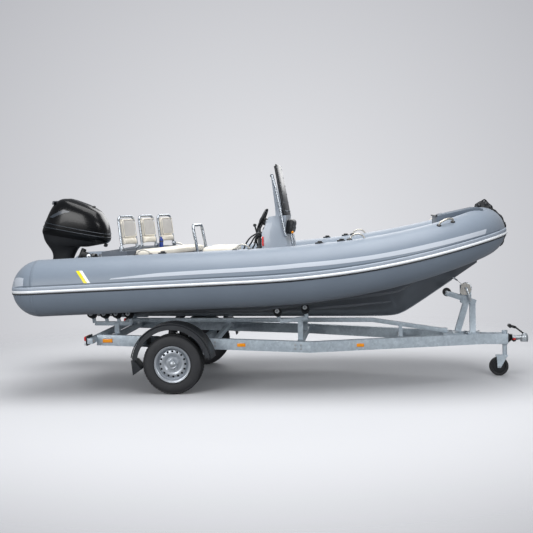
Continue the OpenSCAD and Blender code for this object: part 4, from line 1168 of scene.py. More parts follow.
# ---- Helm -------------------------------------------------------------------
@dataclass
class Helm:
    """The console, the screen and what the helmsperson uses."""
    half: float = 0.34

    def build(self) -> None:
        """Makes the console's details."""
        self.screen()
        self.panel()
        self.looms()
        self.bolster()
        self.rail_details()

    def screen(self) -> None:
        """Makes the screen's edge frame, its bolts and the rails on the fins."""
        foot, head = (1.2, 1.9), (1.102, 2.452)
        posts, rails, bolts = [], [], []
        for s in SIDES:
            y = s * (self.half - 0.016)
            posts.append(pipe([st(1.188, y, 1.89), st(1.14, y, 2.16), st(1.093, y, 2.44)], 0.013))
            rails.append(pipe([st(1.2, s * 0.355, 1.66), st(1.185, s * 0.36, 1.7), st(1.13, s * 0.36, 2.02),
                st(1.075, s * 0.36, 2.28), st(1.055, s * 0.35, 2.33)], 0.014))
            rails += [lathe([(0, 0), (0.02, 0), (0.02, 0.008), (0.012, 0.02), (0, 0.02)],
                st(x, s * 0.339, z), (0, s, 0), 24) for x, z in ((1.2, 1.66), (1.056, 2.33))]
        for k in range(6):
            x, z = (a + (b - a) * (0.06 + 0.88 * k / 5) for a, b in zip(foot, head))
            bolts += [(st(x + 0.004, s * (self.half - 0.06), z), (0.98, 0, 0.17)) for s in SIDES]
        bolts += [(st(1.203, y, 1.93), (0.98, 0, 0.17)) for y in (-0.2, -0.07, 0.07, 0.2)]
        top = pipe([st(x, y, z) for x, y, z in
            ((1.1, -0.3, 2.448), (1.098, -0.15, 2.455), (1.097, 0, 2.456), (1.098, 0.15, 2.455),
            (1.1, 0.3, 2.448))], 0.0075, side=UP)
        piece("screen_frame", posts + [top], BLACK_PLASTIC)
        piece("console_side_rails", rails, STAINLESS)
        studs("screen_bolts", bolts, Item.DOME, (0.009, 0, 0.5), STAINLESS)

    def panel(self) -> None:
        """Makes the dash: a dark panel, dials, switches and the compass, all blank of words."""
        lean = math.radians(25)
        along, out = Vector((math.sin(lean), 0, math.cos(lean))), Vector((-math.cos(lean), 0, math.sin(lean)))
        base = st(0.925, 0, 1.69)
        turn = Matrix((out.cross(along) * -1, along, out)).transposed().to_4x4()
        place = Matrix.Translation(base) @ turn
        board = rounded_box((-0.3, 0.018, 0.0005), (0.3, 0.19, 0.006), 0.002).moved(place)
        dials, glass, switches = [], [], []
        for u, v, r in ((-0.2, 0.11, 0.045), (0.17, 0.13, 0.038), (0.255, 0.13, 0.03)):
            centre = place @ vec(u, v, 0.006)
            dials.append(lathe([(r - 0.006, 0), (r, 0), (r, 0.01), (r - 0.003, 0.013), (r - 0.006, 0.009)],
                centre, out, 40))
            glass.append(lathe([(0, 0), (r - 0.006, 0), (r - 0.006, 0.005), (0, 0.006)], centre, out, 40))
        for k in range(6):
            switches.append(rounded_box((0.1 + 0.032 * k, 0.035, 0.004), (0.124 + 0.032 * k, 0.07, 0.014),
                0.003).moved(place))
        piece("dash_board", [board] + switches, BLACK_PLASTIC)
        piece("dial_rings", dials, STAINLESS)
        piece("dial_faces", glass, SMOKED_ACRYLIC)
        compass = lathe([(0, 0), (0.06, 0), (0.06, 0.02), (0.052, 0.04), (0.03, 0.06), (0, 0.066)],
            st(1.14, 0.12, 1.884), UP, 40)
        piece("compass", [compass], BLACK_PLASTIC)
        hub = Vector(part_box("steering_wheel")[0]).lerp(Vector(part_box("steering_wheel")[1]), 0.5)
        cap = lathe([(0, 0.018), (0.032, 0.018), (0.034, 0.022), (0.026, 0.03), (0, 0.033)], hub, out, 36)
        piece("wheel_cap", [cap], ENGINE_TRIM_AND_HIGHLIGHT, "helm")
        strip = rounded_box(st(0.926, -0.352, 1.548), st(0.945, -0.335, 1.652), 0.006)
        piece("red_extinguisher_strip", [strip], RED_PLASTIC)
        box = rounded_box(st(0.87, -0.35, 1.5), st(0.925, -0.29, 1.55), 0.008)
        lever = [pipe([st(0.885, -0.21, 1.62), st(0.855, -0.21, 1.69), st(0.835, -0.21, 1.77)], 0.009),
            lathe(both_ways([(0, -0.035), (0.016, -0.032), (0.02, 0)]), st(0.833, -0.21, 1.78), turns=24)]
        piece("throttle_lever", lever + [box], BLACK_PLASTIC)

    def looms(self) -> None:
        """Makes the four control cables between the console and the helm seat box, fixed at both ends."""
        cables = []
        for k in range(4):
            y = -0.3 + 0.035 * k
            cables.append(pipe([st(0.93, y, 1.70 - 0.012 * k), st(0.85, y - 0.005, 1.68 - 0.02 * k),
                st(0.77 + 0.03 * k, y - 0.01, 1.62 - 0.03 * k), st(0.71 + 0.045 * k, y, 1.5),
                st(0.69 + 0.05 * k, y, 1.3), st(0.68 + 0.05 * k, y, 1.081)], 0.009))
        piece("control_cables", cables, ROLLER_RUBBER)

    def bolster(self) -> None:
        """Makes the padded black bolster on the front of the console."""
        rings = []
        for k in range(9):
            z = 1.672 + 0.166 * k / 8
            front = 1.205 - 0.025 * (1.884 - z) / 0.184 if z > 1.7 else 1.18
            face = front + 0.066 + 0.012 * math.sin(math.pi * k / 8)
            rings.append([st(x, y, z) for x, y in
                ((front + 0.006, -0.208), (face, -0.2), (face + 0.01, -0.1), (face + 0.012, 0),
                (face + 0.01, 0.1), (face, 0.2), (front + 0.006, 0.208))])
        mesh = inflate(loft(rings), 0.01, 0.008)
        for v in mesh.vertices:
            v.co.x -= 0.008 * math.exp(-((v.co.z - 1.755) / 0.008) ** 2) * (v.co.x + MID > 1.22)
        finish_pad("bolster_pad", mesh, [BLACK_PLASTIC], ROOT, ["console_bolster"])
        legs = [pipe([st(1.235, s * 0.15, 1.68), st(1.255, s * 0.15, 1.55), st(1.268, s * 0.15, 1.4)], 0.012)
            for s in SIDES]
        piece("bolster_legs", legs, STAINLESS)
        knob = lathe([(0, 0), (0.014, 0), (0.014, 0.01), (0, 0.014)], st(1.262, -0.208, 1.69), (0, -1, 0), 20)
        piece("bolster_knob", [knob], LENS_AMBER)

    def rail_details(self) -> None:
        """Makes the flanges of the helm rail and the bottle's cap band."""
        foot = [lathe([(0.018, 0), (0.036, 0), (0.036, 0.005), (0.024, 0.012), (0.018, 0.012)],
            st(0.184, s * 0.28, 1.471), UP, 32) for s in SIDES]
        piece("helm_rail_flanges", foot, STAINLESS)
        low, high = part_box("water_canister")
        mid = (Vector(low) + Vector(high)) / 2
        band = lathe([(0.0242, 0), (0.0258, 0.001), (0.0258, 0.014), (0.0242, 0.015)],
            (mid.x, mid.y, low[2] + 0.06), UP, 32)
        piece("bottle_band", [band], BLACK_PLASTIC)


# ---- Engine -----------------------------------------------------------------
@dataclass
class Engine:
    """The outboard: cowl, leg, screw and bracket, tilted about the transom."""
    pivot: Vector = field(default_factory=lambda: st(-1.15, 0, 1.458))
    tilt: float = 25.0
    upper: tuple = ((22, 214, -645, 112, 172), (60, 262, -656, 124, 196), (180, 345, -658, 88, 206),
        (310, 425, -652, 30, 206), (405, 484, -632, -40, 192), (480, 524, -584, -100, 160),
        (525, 545, -500, -200, 96))
    lower: tuple = ((-600, -600, -385, -205, 34), (-300, -300, -405, -190, 58), (-160, 20, -440, -186, 92),
        (-60, 92, -575, -72, 140), (20, 212, -643, 108, 168))
    blade: tuple = ((-0.5, 0), (-0.25, 0.8), (0.05, 1), (0.35, 0.7), (0.5, 0), (0.35, -0.3), (0.05, -0.4),
        (-0.25, -0.3))

    @property
    def place(self) -> Matrix:
        """The matrix from the upright engine's axes to the frame."""
        return Matrix.Translation(self.pivot) @ Matrix.Rotation(math.radians(self.tilt), 4, "Y")

    @staticmethod
    def section(row: Sequence[float], points: int = 56, grow: float = 0.0) -> list[Vector]:
        """Cuts the casing along one row: heights at both ends, both ends and the half width."""
        zr, zf, xr, xf, half = (v / 1000 for v in row)
        out = []
        for k in range(points):
            a = k * math.tau / points
            u = math.copysign(abs(math.cos(a)) ** (2 / 3.2), math.cos(a))
            v = math.copysign(abs(math.sin(a)) ** (2 / 3.2), math.sin(a))
            x = (xr + xf) / 2 + ((xf - xr) / 2 + grow) * u
            out.append(Vector((x, (half + grow) * v, zr + (zf - zr) * (u + 1) / 2)))
        return out

    @staticmethod
    def dense(rows: Sequence[Sequence[float]], per_span: int = 5) -> list[list[float]]:
        """Adds rows between the given ones along smooth curves."""
        columns = [smooth_line([(r[i], j, 0) for j, r in enumerate(rows)], per_span) for i in range(5)]
        return [[c[k][0] for c in columns] for k in range(len(columns[0]))]

    def build(self) -> None:
        """Makes every piece of the engine."""
        self.cowl()
        self.leg()
        self.screw()
        self.bracket()

    def cowl(self) -> None:
        """Makes the cowl with its split line, rear lip, side-panel bands and carry grip; the bands' grey is a
        painted highlight along the panel's edge.
        """
        rows = self.dense(self.upper)
        skin = [self.section(r) for r in rows]
        last = skin[-1]
        mid = sum(last, Vector()) / len(last)
        for share, lift in ((0.7, 0.006), (0.35, 0.009)):
            skin.append([mid + (p - mid) * share + vec(0, 0, lift) for p in last])
        cover = loft(skin).moved(self.place)
        piece("cowl_cover", [cover], ENGINE_GLOSS, "engine_unit", ["engine_cowl"], 50)
        trims_and_highlight = []
        for k in (7, 9):
            ring = self.section(rows[k], grow=0.0035)
            trims_and_highlight.append(sweep(ring, circle(0.0035, 8), UP, closed=True).moved(self.place))
        # Bands round the side panels: raised ribs whose grey is a painted highlight along the cowl's edge.
        for s in SIDES:
            outer = []
            for i, row in enumerate(rows[12:19]):
                ring = [p for p in self.section(row, 112, 0.003)
                    if s * p.y > 0 and -0.6 + 0.02 * i < p.x < -0.16 - 0.03 * i]
                outer.append(sorted(ring, key=lambda p: p.x)[::2][:22])
            width = min(len(r) for r in outer)
            outer = [r[:width] for r in outer]
            inner = [[vec(p.x, p.y - s * 0.006, p.z) for p in r] for r in outer]
            trims_and_highlight.append(loft([o + i[::-1] for o, i in zip(outer, inner)]).moved(self.place))
        lip = [vec(-0.636, y, 0.412 - 0.2 * y * y) for y in (-0.13, -0.07, 0, 0.07, 0.13)]
        trims_and_highlight.append(sweep(smooth_line(lip), [(-0.02, -0.006), (0.02, -0.012), (0.02, 0.012), (-0.02, 0.006)],
            UP).moved(self.place))
        piece("cowl_trim", trims_and_highlight, ENGINE_TRIM_AND_HIGHLIGHT, "engine_unit", sharp=45)
        grip = pipe([(-0.2, y, z) for y, z in ((-0.05, 0.538), (-0.03, 0.552), (0.03, 0.552), (0.05, 0.538))],
            0.008, side=FORE).moved(self.place)
        latch = rounded_box((0.09, -0.035, 0.17), (0.122, 0.035, 0.205), 0.006).moved(self.place)
        piece("cowl_latch", [grip, latch], ENGINE_CAST, "engine_unit")

    def leg(self) -> None:
        """Makes the midsection, gearcase, plate, skeg and water intake."""
        rows = self.dense(self.lower, 6)
        body = loft([self.section(r) for r in rows])
        bullet = [(0, -0.484), (0.03, -0.484), (0.046, -0.46), (0.053, -0.4), (0.054, -0.3), (0.052, -0.22),
            (0.043, -0.165), (0.027, -0.125), (0.01, -0.108), (0, -0.106)]
        case = lathe(bullet, (0, 0, -0.74), FORE, 40)
        strut = loft([[vec(x, y, z) for x, y in
            ((-0.46 - dx, 0), (-0.4, w), (-0.28, w * 1.2), (-0.2, w * 0.7), (-0.17 + fx, 0),
            (-0.2, -w * 0.7), (-0.28, -w * 1.2), (-0.4, -w))]
            for z, w, dx, fx in ((-0.75, 0.02, 0.0, 0.0), (-0.66, 0.022, 0.0, -0.005),
            (-0.585, 0.03, 0.0, -0.01), (-0.5, 0.032, -0.03, -0.02))])
        half = [(-0.535, 0.06), (-0.49, 0.09), (-0.36, 0.095), (-0.26, 0.06), (-0.195, 0.02)]
        plate = [(-0.545, 0.0), *half, (-0.19, 0), *((x, -y) for x, y in reversed(half))]
        flat = slab(plate, -0.5675, -0.557, "xy")
        skeg = loft([[vec(xr, 0, z), Vector(((xr + xf) / 2, w, z)), vec(xf, 0, z),
            Vector(((xr + xf) / 2, -w, z))]
            for z, xr, xf, w in ((-0.78, -0.42, -0.2, 0.009), (-0.84, -0.43, -0.27, 0.007),
            (-0.9, -0.44, -0.345, 0.005), (-0.912, -0.435, -0.37, 0.003))])
        shells = [s.moved(self.place) for s in (body, case, strut, flat, skeg)]
        piece("engine_casing", shells, ENGINE_CAST, "engine_unit", ["engine_leg"], 40)
        slots = [rounded_box((-0.3, s * 0.03 - 0.004, z), (-0.24, s * 0.03 + 0.004, z + 0.008), 0.003)
            .moved(self.place) for s in SIDES for z in (-0.66, -0.645, -0.63)]
        piece("water_intake", slots, ENGINE_TRIM_AND_HIGHLIGHT, "engine_unit")
        bolts = [(self.place @ vec(-0.29 - 0.05 * k, s * 0.058, -0.3 + 0.002 * k),
            self.place.to_3x3() @ vec(0, s, 0)) for s in SIDES for k in range(2)]
        studs("leg_bolts", bolts, Item.HEX, (0.009, 0, 0.008), STAINLESS, "engine_unit")

    def screw(self) -> None:
        """Makes the three-bladed screw with twisted blades."""
        hub = lathe([(0, -0.05), (0.032, -0.05), (0.04, -0.045), (0.047, 0.0), (0.05, 0.05), (0.046, 0.057),
            (0, 0.057)], (0, 0, 0), FORE, 36)
        nut = lathe([(0, -0.052), (0.013, -0.052), (0.013, -0.05), (0, -0.05)], (0, 0, 0), FORE, 6)
        shells = [hub, nut]
        for blade in range(3):
            rings = []
            for k in range(13):
                t = k / 12
                r = 0.043 + (0.1605 - 0.043) * t
                chord = 0.125 * math.sin(math.pi * (0.2 + 0.72 * t)) ** 0.8 * (1 - 0.55 * t ** 6)
                pitch = math.atan(0.06 / r)
                thick = 0.009 * (1 - 0.75 * t)
                sweepback = 0.05 * t * t
                ring = []
                for a, w in self.blade:
                    c = chord * a
                    around = (c * math.cos(pitch) + sweepback) / r
                    ahead = c * math.sin(pitch) + thick * w * 0.5 - 0.012 * t
                    ring.append(Vector((ahead, r * math.sin(around), r * math.cos(around))))
                rings.append(ring)
            shells.append(loft(rings).moved(Matrix.Rotation(math.tau * blade / 3, 4, "X")))
        place = self.place @ Matrix.Translation((-0.545, 0, -0.74))
        piece("screw_blades", [s.moved(place) for s in shells], ENGINE_CAST, "screw",
            ["propeller"], 50)

    def bracket(self) -> None:
        """Makes the bracket's bolts and the tilt cylinder's caps."""
        bolts = [(st(-1.112, s * 0.1, z), FORE) for s in SIDES for z in (1.13, 1.26)]
        studs("bracket_bolts", bolts, Item.HEX, (0.012, 0, 0.012), STAINLESS)
        caps = [lathe([(0, 0), (0.03, 0), (0.028, 0.007), (0.014, 0.01), (0, 0.01)],
            self.pivot + vec(0, s * 0.113, 0), (0, s, 0), 28) for s in SIDES]
        piece("tilt_pin_caps", caps, STAINLESS)


# ---- Trailer ----------------------------------------------------------------
@dataclass
class Wheels:
    """The road wheels, the jockey wheel and the guards."""
    radius: float = 0.325
    half: float = 0.0925
    ribs: int = 4
    lugs: int = 60
    guard: float = 0.4435

    def build(self) -> None:
        """Makes both wheels, the guards and the jockey wheel."""
        for s in SIDES:
            self.road(s)
        self.guards()
        self.jockey()

    def road(self, s: int) -> None:
        """Makes one tyre with its grooves and shoulder blocks, and dresses its rim."""
        name, y0 = SIDE_NAMES[s], s * 0.93
        body = "wheel_" + name
        centre = st(0, y0, self.radius)
        r, w = self.radius - 0.006, self.half
        groove, outline = 0.0055, []
        tread, g = 0.132, 0.0035
        for u in range(self.ribs):
            a, b = (tread * (u + k) / self.ribs - tread / 2 for k in (0, 1))
            outline += [(r + 0.0005, a + g), (r + 0.0005, b - g)]
            if u < self.ribs - 1:
                outline += [(r - groove, b - g * 0.7), (r - groove, b + g * 0.7)]
        outline += [(r - 0.003, 0.072), (r - 0.014, 0.082), (r - 0.04, 0.09), (r - 0.075, w - 0.0005),
            (r - 0.1, 0.089), (r - 0.104, 0.0885), (r - 0.106, 0.0905), (r - 0.11, 0.0905),
            (r - 0.112, 0.087), (0.207, 0.079), (0.199, 0.074), (0.1985, 0.06)]
        mirror = [(a, -b) for a, b in reversed(outline[-12:])]
        tyre = lathe(outline + mirror, centre, turns=144)
        piece("tyre_" + name + "_body", [tyre], TYRE_RUBBER, body, ["tyre_" + name], 30)
        for tag, rows in (("centre", (-0.0495, -0.0165, 0.0165, 0.0495)), ("shoulder", (-0.079, 0.079))):
            places, wide = [], tag == "centre"
            for j, v in enumerate(rows):
                for k in range(self.lugs):
                    a = math.tau * (k + 0.5 * (j % 2)) / self.lugs
                    out = Vector((math.cos(a), 0, math.sin(a)))
                    tip = 0 if wide else math.copysign(0.5, v)
                    facing = (out + vec(0, tip, 0)).normalized()
                    depth = r - (-0.0012 if wide else 0.0075)
                    places.append((centre + out * depth + vec(0, v, 0), facing))
            studs("tread_" + tag + "_" + name, places, Item.BLOCK,
                (0.0235, 0.021 if wide else 0.018, 0.008), TYRE_RUBBER, body, (0, 1, 0))
        drum = lathe([(0.062, -0.024), (0.152, -0.024), (0.156, -0.02), (0.156, 0.004), (0.15, 0.008),
            (0.062, 0.008)], (centre.x, y0, centre.z), (0, s, 0), 48)
        piece("brake_drum_" + name, [drum], ENGINE_CAST, body)
        hub = lathe([(0, 0), (0.034, 0), (0.036, 0.012), (0.032, 0.034), (0.022, 0.042), (0, 0.044)],
            (centre.x, y0 + s * 0.04 - s * 0.006, centre.z), (0, s, 0), 36)
        piece("hub_cap_" + name, [hub], ZINC_PLATE, body)
        face = y0 + s * 0.042
        bolts = [(Vector((centre.x + 0.056 * math.cos(a), face, centre.z + 0.056 * math.sin(a))), (0, s, 0))
            for a in [math.tau * k / 5 + 0.3 for k in range(5)]]
        studs("wheel_bolts_" + name, bolts, Item.HEX, (0.0105, 0, 0.024), ZINC_PLATE, body)
        ring = lathe([(0.1935, -0.004), (0.199, -0.004), (0.2, 0.001), (0.198, 0.006), (0.1945, 0.005)],
            (centre.x, y0 + s * 0.0775, centre.z), (0, s, 0), 72)
        valve = pipe([(centre.x + 0.164, face + s * 0.004, centre.z - 0.05),
            (centre.x + 0.166, face + s * 0.04, centre.z - 0.0505)], 0.005)
        piece("rim_edge_" + name, [ring, valve], RIM_SILVER, body)

    def guards(self) -> None:
        """Makes the guards' rolled edges, their ribs and their outer skirts."""
        def hoop(r: float, y: float, a: float) -> Vector:
            """Gives a point round the wheel at radius r, breadth y and angle a."""
            return st(r * math.cos(a), y, self.radius + r * math.sin(a))
        edges = [sweep([hoop(self.guard, s * y, a) for a in arc(9, 173, 4)], circle(0.006, 8))
            for s in SIDES for y in (0.803, 1.057)]
        ribs = [sweep([hoop(self.guard, s * (0.83 + 0.05 * k), a) for a in arc(30, 150, 4)],
            circle(0.0028, 6)) for s in SIDES for k in range(5)]
        piece("guard_edges", edges + ribs, GUARD_PLASTIC)
        skirt = ((0.4385, 1.03), (0.4365, 1.048), (0.425, 1.0585), (0.378, 1.0595), (0.378, 1.0565),
            (0.424, 1.0545), (0.433, 1.045), (0.4345, 1.03))
        skirts = [loft([[hoop(r, s * y, a) for r, y in skirt] for a in arc(11, 172, 4)]) for s in SIDES]
        piece("guard_skirts", skirts, GUARD_PLASTIC)

    def jockey(self) -> None:
        """Makes the jockey wheel with its rubber tread, and the clamp's handle."""
        centre = st(3.562, 0, 0.1075)
        tread = lathe(both_ways([(0.082, -0.028), (0.1, -0.0285), (0.1065, -0.02), (0.107, 0)]),
            centre, turns=72)
        disc = lathe(both_ways([(0.0105, -0.026), (0.024, -0.026), (0.026, -0.012), (0.07, -0.01),
            (0.076, -0.024), (0.083, -0.025)]), centre, turns=60)
        piece("jockey_tread", [tread], ROLLER_RUBBER, "jockey_roll", ["jockey_wheel"])
        piece("jockey_disc", [disc], BLACK_PLASTIC, "jockey_roll")
        nuts = [((centre.x, s * 0.046, centre.z), (0, s, 0)) for s in SIDES]
        studs("jockey_nuts", nuts, Item.HEX, (0.0105, 0, 0.009), ZINC_PLATE, "jockey_castor")
        knob = [pipe([st(3.63, 0.0268, 0.465), st(3.63, 0.075, 0.465)], 0.007, side=FORE),
            pipe([st(3.6, 0.078, 0.44), st(3.66, 0.078, 0.49)], 0.0065)]
        piece("clamp_handle", knob, ZINC_PLATE)


@dataclass
class Trailer:
    """The frame's dressing: rollers, winch, lamps, coupling and fixings."""
    rail_y: float = 0.745
    knee: float = 1.47

    def build(self) -> None:
        """Makes the trailer's details."""
        self.rollers()
        self.winch()
        self.lamps()
        self.coupling()
        self.fixings()

    def rail_z(self, x: float) -> float:
        """Height of the side rail's middle."""
        return 0.565 - 0.105 * (x + 0.89) / 2.36 if x < self.knee else 0.46 - 0.035 * (x - self.knee) / 2.19

    @staticmethod
    def islands(node: str) -> list[tuple[Vector, Vector]]:
        """Splits a frame node into loose solids and gives each one's box."""
        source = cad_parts[node]
        work = bmesh.new()
        work.from_mesh(source.data)
        work.transform(source.matrix_world)
        seen: set[int] = set()
        out = []
        for v in work.verts:
            if v.index in seen:
                continue
            stack, group = [v], []
            seen.add(v.index)
            while stack:
                here = stack.pop()
                group.append(here.co.copy())
                for edge in here.link_edges:
                    other = edge.other_vert(here)
                    if other.index not in seen:
                        seen.add(other.index)
                        stack.append(other)
            out.append((Vector([min(p[i] for p in group) for i in range(3)]),
                Vector([max(p[i] for p in group) for i in range(3)])))
        work.free()
        return out

    def rollers(self) -> None:
        """Makes the hull rollers: ribbed black rubber on pale hubs."""
        rubber, discs, done = [], [], set()
        ribbed = both_ways([(0.012, -0.027), (0.026, -0.027), (0.028, -0.025), (0.041, -0.0275),
            (0.045, -0.022), (0.0455, -0.012), (0.043, -0.01), (0.043, -0.006), (0.0455, -0.004)])
        for low, high in self.islands("hull_rollers"):
            mid, size = (low + high) / 2, high - low
            key = tuple(round(c, 2) for c in mid)
            if size.z < 0.07 or key in done:
                continue
            done.add(key)
            axis = Vector((0, 1, math.copysign(HULL.rise(mid.x + MID), mid.y))).normalized()
            rubber.append(lathe(ribbed, mid, axis, 40))
            discs += [lathe([(0.01, 0.0255), (0.025, 0.0255), (0.0245, 0.0282), (0.01, 0.0282)], mid,
                axis * e, 28) for e in SIDES]
        piece("keel_rollers", rubber, ROLLER_RUBBER, replaces=["hull_rollers"])
        piece("roller_hubs", discs, HUB_WHITE)

    def winch(self) -> None:
        """Makes the winch's plates, drum, strap, crank and the bow roller."""
        at, roller = st(3.2, 0, 1.01), st(2.99, 0, 0.962)
        drum = lathe(both_ways([(0.0105, -0.031), (0.033, -0.031)]), at, turns=36)
        coil = lathe(both_ways([(0.02, -0.026), (0.0335, -0.026)]), at, turns=36)
        gear = lathe(both_ways([(0.0105, -0.006), (0.055, -0.006), (0.062, -0.004), (0.0645, 0.0)]),
            at + vec(0, -0.06, 0), turns=48)
        cover = slab([(at.x + dx, at.z + dz) for dx, dz in
            ((-0.07, -0.05), (-0.05, -0.075), (0.03, -0.08), (0.055, -0.03), (0.045, 0.04),
            (0, 0.06), (-0.05, 0.05))], -0.073, -0.0665)
        crank = [rounded_bar(at + vec(0, -0.078, 0), at + vec(0.05, -0.078, -0.15), 0.007, 0.022),
            pipe([at + vec(0.05, -0.078, -0.145), at + vec(0.05, -0.085, -0.145)], 0.008, side=FORE)]
        bow = lathe(both_ways([(0.0105, -0.03), (0.03, -0.031), (0.0475, -0.0305), (0.046, -0.015),
            (0.04, 0)]), roller, turns=40)
        hubs = [lathe([(0, 0), (0.02, 0), (0.019, 0.006), (0, 0.008)], roller + vec(0, s * 0.0425, 0),
            (0, s, 0), 28) for s in SIDES]
        piece("bow_roller_hubs", hubs, HUB_WHITE)
        start, end = at + vec(-0.024, 0, 0.027), st(3.0796, 0, 1.1218)
        line = [start.lerp(end, t / 8) + Vector((0, 0, -0.004 * math.sin(math.pi * t / 8))) for t in range(9)]
        strap = sweep(line, band_section(0.048, 0.0044))
        hook = pipe([end + vec(0.012, 0, -0.012), end + vec(-0.004, 0, 0.004),
            end + vec(-0.014, 0, 0.004)], 0.006)
        piece("winch_drum", [drum, bow], ROLLER_RUBBER, replaces=["winch"])
        piece("winch_gear", [gear, *crank], ZINC_PLATE)
        piece("winch_cover", [cover], WINCH_PLATE)
        piece("winch_strap", [strap, coil], WEBBING)
        piece("winch_hook", [hook], STAINLESS)

    def lamps(self) -> None:
        """Makes the lamp housings with red, amber and clear lenses, and the side reflectors."""
        housings, red, amber, clear = [], [], [], []
        for s in SIDES:
            housings.append(side_box(s, (-0.97, -0.9517), (0.722, 0.923), (0.523, 0.627), 0.006))
            top, low = (0.577, 0.622), (0.528, 0.573)
            for group, y, z in ((red, (0.727, 0.8), top), (amber, (0.804, 0.86), top),
                    (red, (0.864, 0.918), top), (red, (0.727, 0.86), low), (clear, (0.864, 0.918), low)):
                group.append(side_box(s, (-0.992, -0.969), y, z, 0.006))
            amber.append(side_box(s, (-0.822, -0.713), (0.777, 0.7885), (0.537, 0.577), 0.004))
            for x in (0.72, 2.0):
                out = self.rail_y + (0.031 if x < self.knee else 0.0335 - 0.715 * (x - 1.478) / 1.942)
                z = self.rail_z(x)
                amber.append(side_box(s, (x - 0.045, x + 0.045), (out - 0.004, out + 0.007),
                    (z - 0.018, z + 0.018), 0.003))
        piece("lamp_housings", housings, BLACK_PLASTIC, replaces=["lamps"])
        piece("red_lenses", red, LENS_RED)
        piece("amber_lenses", amber, LENS_AMBER)
        piece("clear_lenses", clear, LENS_CLEAR)

    def coupling(self) -> None:
        """Makes the coupling head, its handle, the bellows and the safety cable."""
        x, z = 3.847, 0.459
        head = lathe([(0.0255, -0.068), (0.043, -0.071), (0.0435, -0.03), (0.042, -0.01), (0.034, 0.012),
            (0.022, 0.022), (0, 0.0255)], st(x, 0, z), UP, 48)
        inner = lathe([(0.0255, -0.068), (0.0255, -0.02), (0.0, -0.018), (0, -0.01), (0.03, -0.012),
            (0.03, -0.066)], st(x, 0, z), UP, 48)
        neck_z, fold = 0.4333, 0.0095
        folds = [(0.031 if k % 2 else 0.044, 0.012 + fold * k) for k in range(5)]
        bellows = lathe([(0, 0.012), *folds, (0, 0.012 + fold * 4)], st(3.662, 0, neck_z), FORE, 36)
        tube = lathe([(0, 0.0), (0.0258, 0.0), (0.0258, 0.15), (0, 0.15)], st(3.664, 0, neck_z), FORE, 36)
        collar = lathe([(0, 0), (0.05, 0), (0.052, 0.006), (0.052, 0.016), (0.046, 0.022), (0, 0.022)],
            st(3.6612, 0, neck_z - 0.006), FORE, 40)
        handle = rounded_bar(st(x - 0.008, 0, 0.478), st(x - 0.11, 0, 0.56), 0.03, 0.018)
        grip = pipe([st(x - 0.092, 0, 0.546), st(x - 0.125, 0, 0.557), st(x - 0.16, 0, 0.566)], 0.0148)
        piece("coupling_head", [head, inner, tube], ZINC_PLATE, replaces=["coupling"])
        low_ring = lathe(both_ways([(0, -0.008), (0.019, -0.008)]), st(x - 0.118, -0.03, 0.418),
            (0.3, 0, -1), 28)
        low_knob = lathe([(0, -0.006), (0.017, -0.006), (0.021, 0.004), (0.016, 0.018), (0, 0.02)],
            st(x - 0.117, -0.03, 0.41), (0.3, 0, -1), 28)
        bar = pipe([st(x - 0.16, -0.045, 0.566), st(x - 0.16, 0, 0.57), st(x - 0.16, 0.045, 0.566)], 0.02,
            side=FORE)
        piece("coupling_low_ring", [low_ring], RED_PLASTIC)
        piece("coupling_rubber", [bellows, collar, grip, low_knob, bar], ROLLER_RUBBER)
        piece("coupling_handle", [handle], ENGINE_CAST)
        cable = pipe([st(x, y, z) for x, y, z in
            ((3.6, 0.062, 0.47), (3.66, 0.075, 0.44), (3.74, 0.062, 0.4), (3.8, 0.047, 0.405),
            (3.83, 0.03, 0.42))], 0.004, side=UP)
        piece("safety_cable", [cable], STAINLESS)

    def fixings(self) -> None:
        """Bolts the frame's plates together."""
        places = []
        for s in SIDES:
            for stations, lift in (((-0.79, -0.73, 0.37, 0.43, 1.31, 1.37), 0.02), ((0.12, 0.18), 0.022)):
                places += [(st(x, s * (self.rail_y + 0.031), self.rail_z(x) + dz), (0, s, 0))
                    for x in stations for dz in (-lift, lift)]
        places += [(st(x, y, self.rail_z(3.25) + 0.07), UP) for x in (3.2, 3.35) for y in (-0.075, 0.075)]
        studs("frame_bolts", places, Item.HEX, (0.0105, 0, 0.01), ZINC_PLATE)
        studs("frame_washers", [(Vector(p) - Vector(n) * 0.002, n) for p, n in places], Item.DOME,
            (0.015, 0, 0.2), ZINC_PLATE)


# ---- Frame nodes that stay, and the picture ---------------------------------
STAY = ((DECK_NONSLIP, "deck"), (HULL_GELCOAT, "transom"), (STEP_PLASTIC, "bow_step"),
    (BENCH_GELCOAT, "stern_bench"), (PALE_GELCOAT, "helm_seat"), (CONSOLE_GELCOAT, "console"),
    (STAINLESS, "seat_brackets backrest_frame_starboard backrest_frame_centre backrest_frame_port helm_rail"),
    (CANISTER_BLUE, "water_canister"), (SMOKED_ACRYLIC, "windscreen"),
    (BLACK_PLASTIC, "helm_column steering_wheel throttle_box"),
    (ENGINE_CAST, "engine_bracket engine_swivel"), (RIM_SILVER, "rim_starboard rim_port"),
    (GUARD_PLASTIC, "mudguards"),
    (GALVANISED, "frame_rails cross_members keel_beam axle roller_cradles winch_post jockey_clamp "
    "jockey_tube jockey_fork"),)


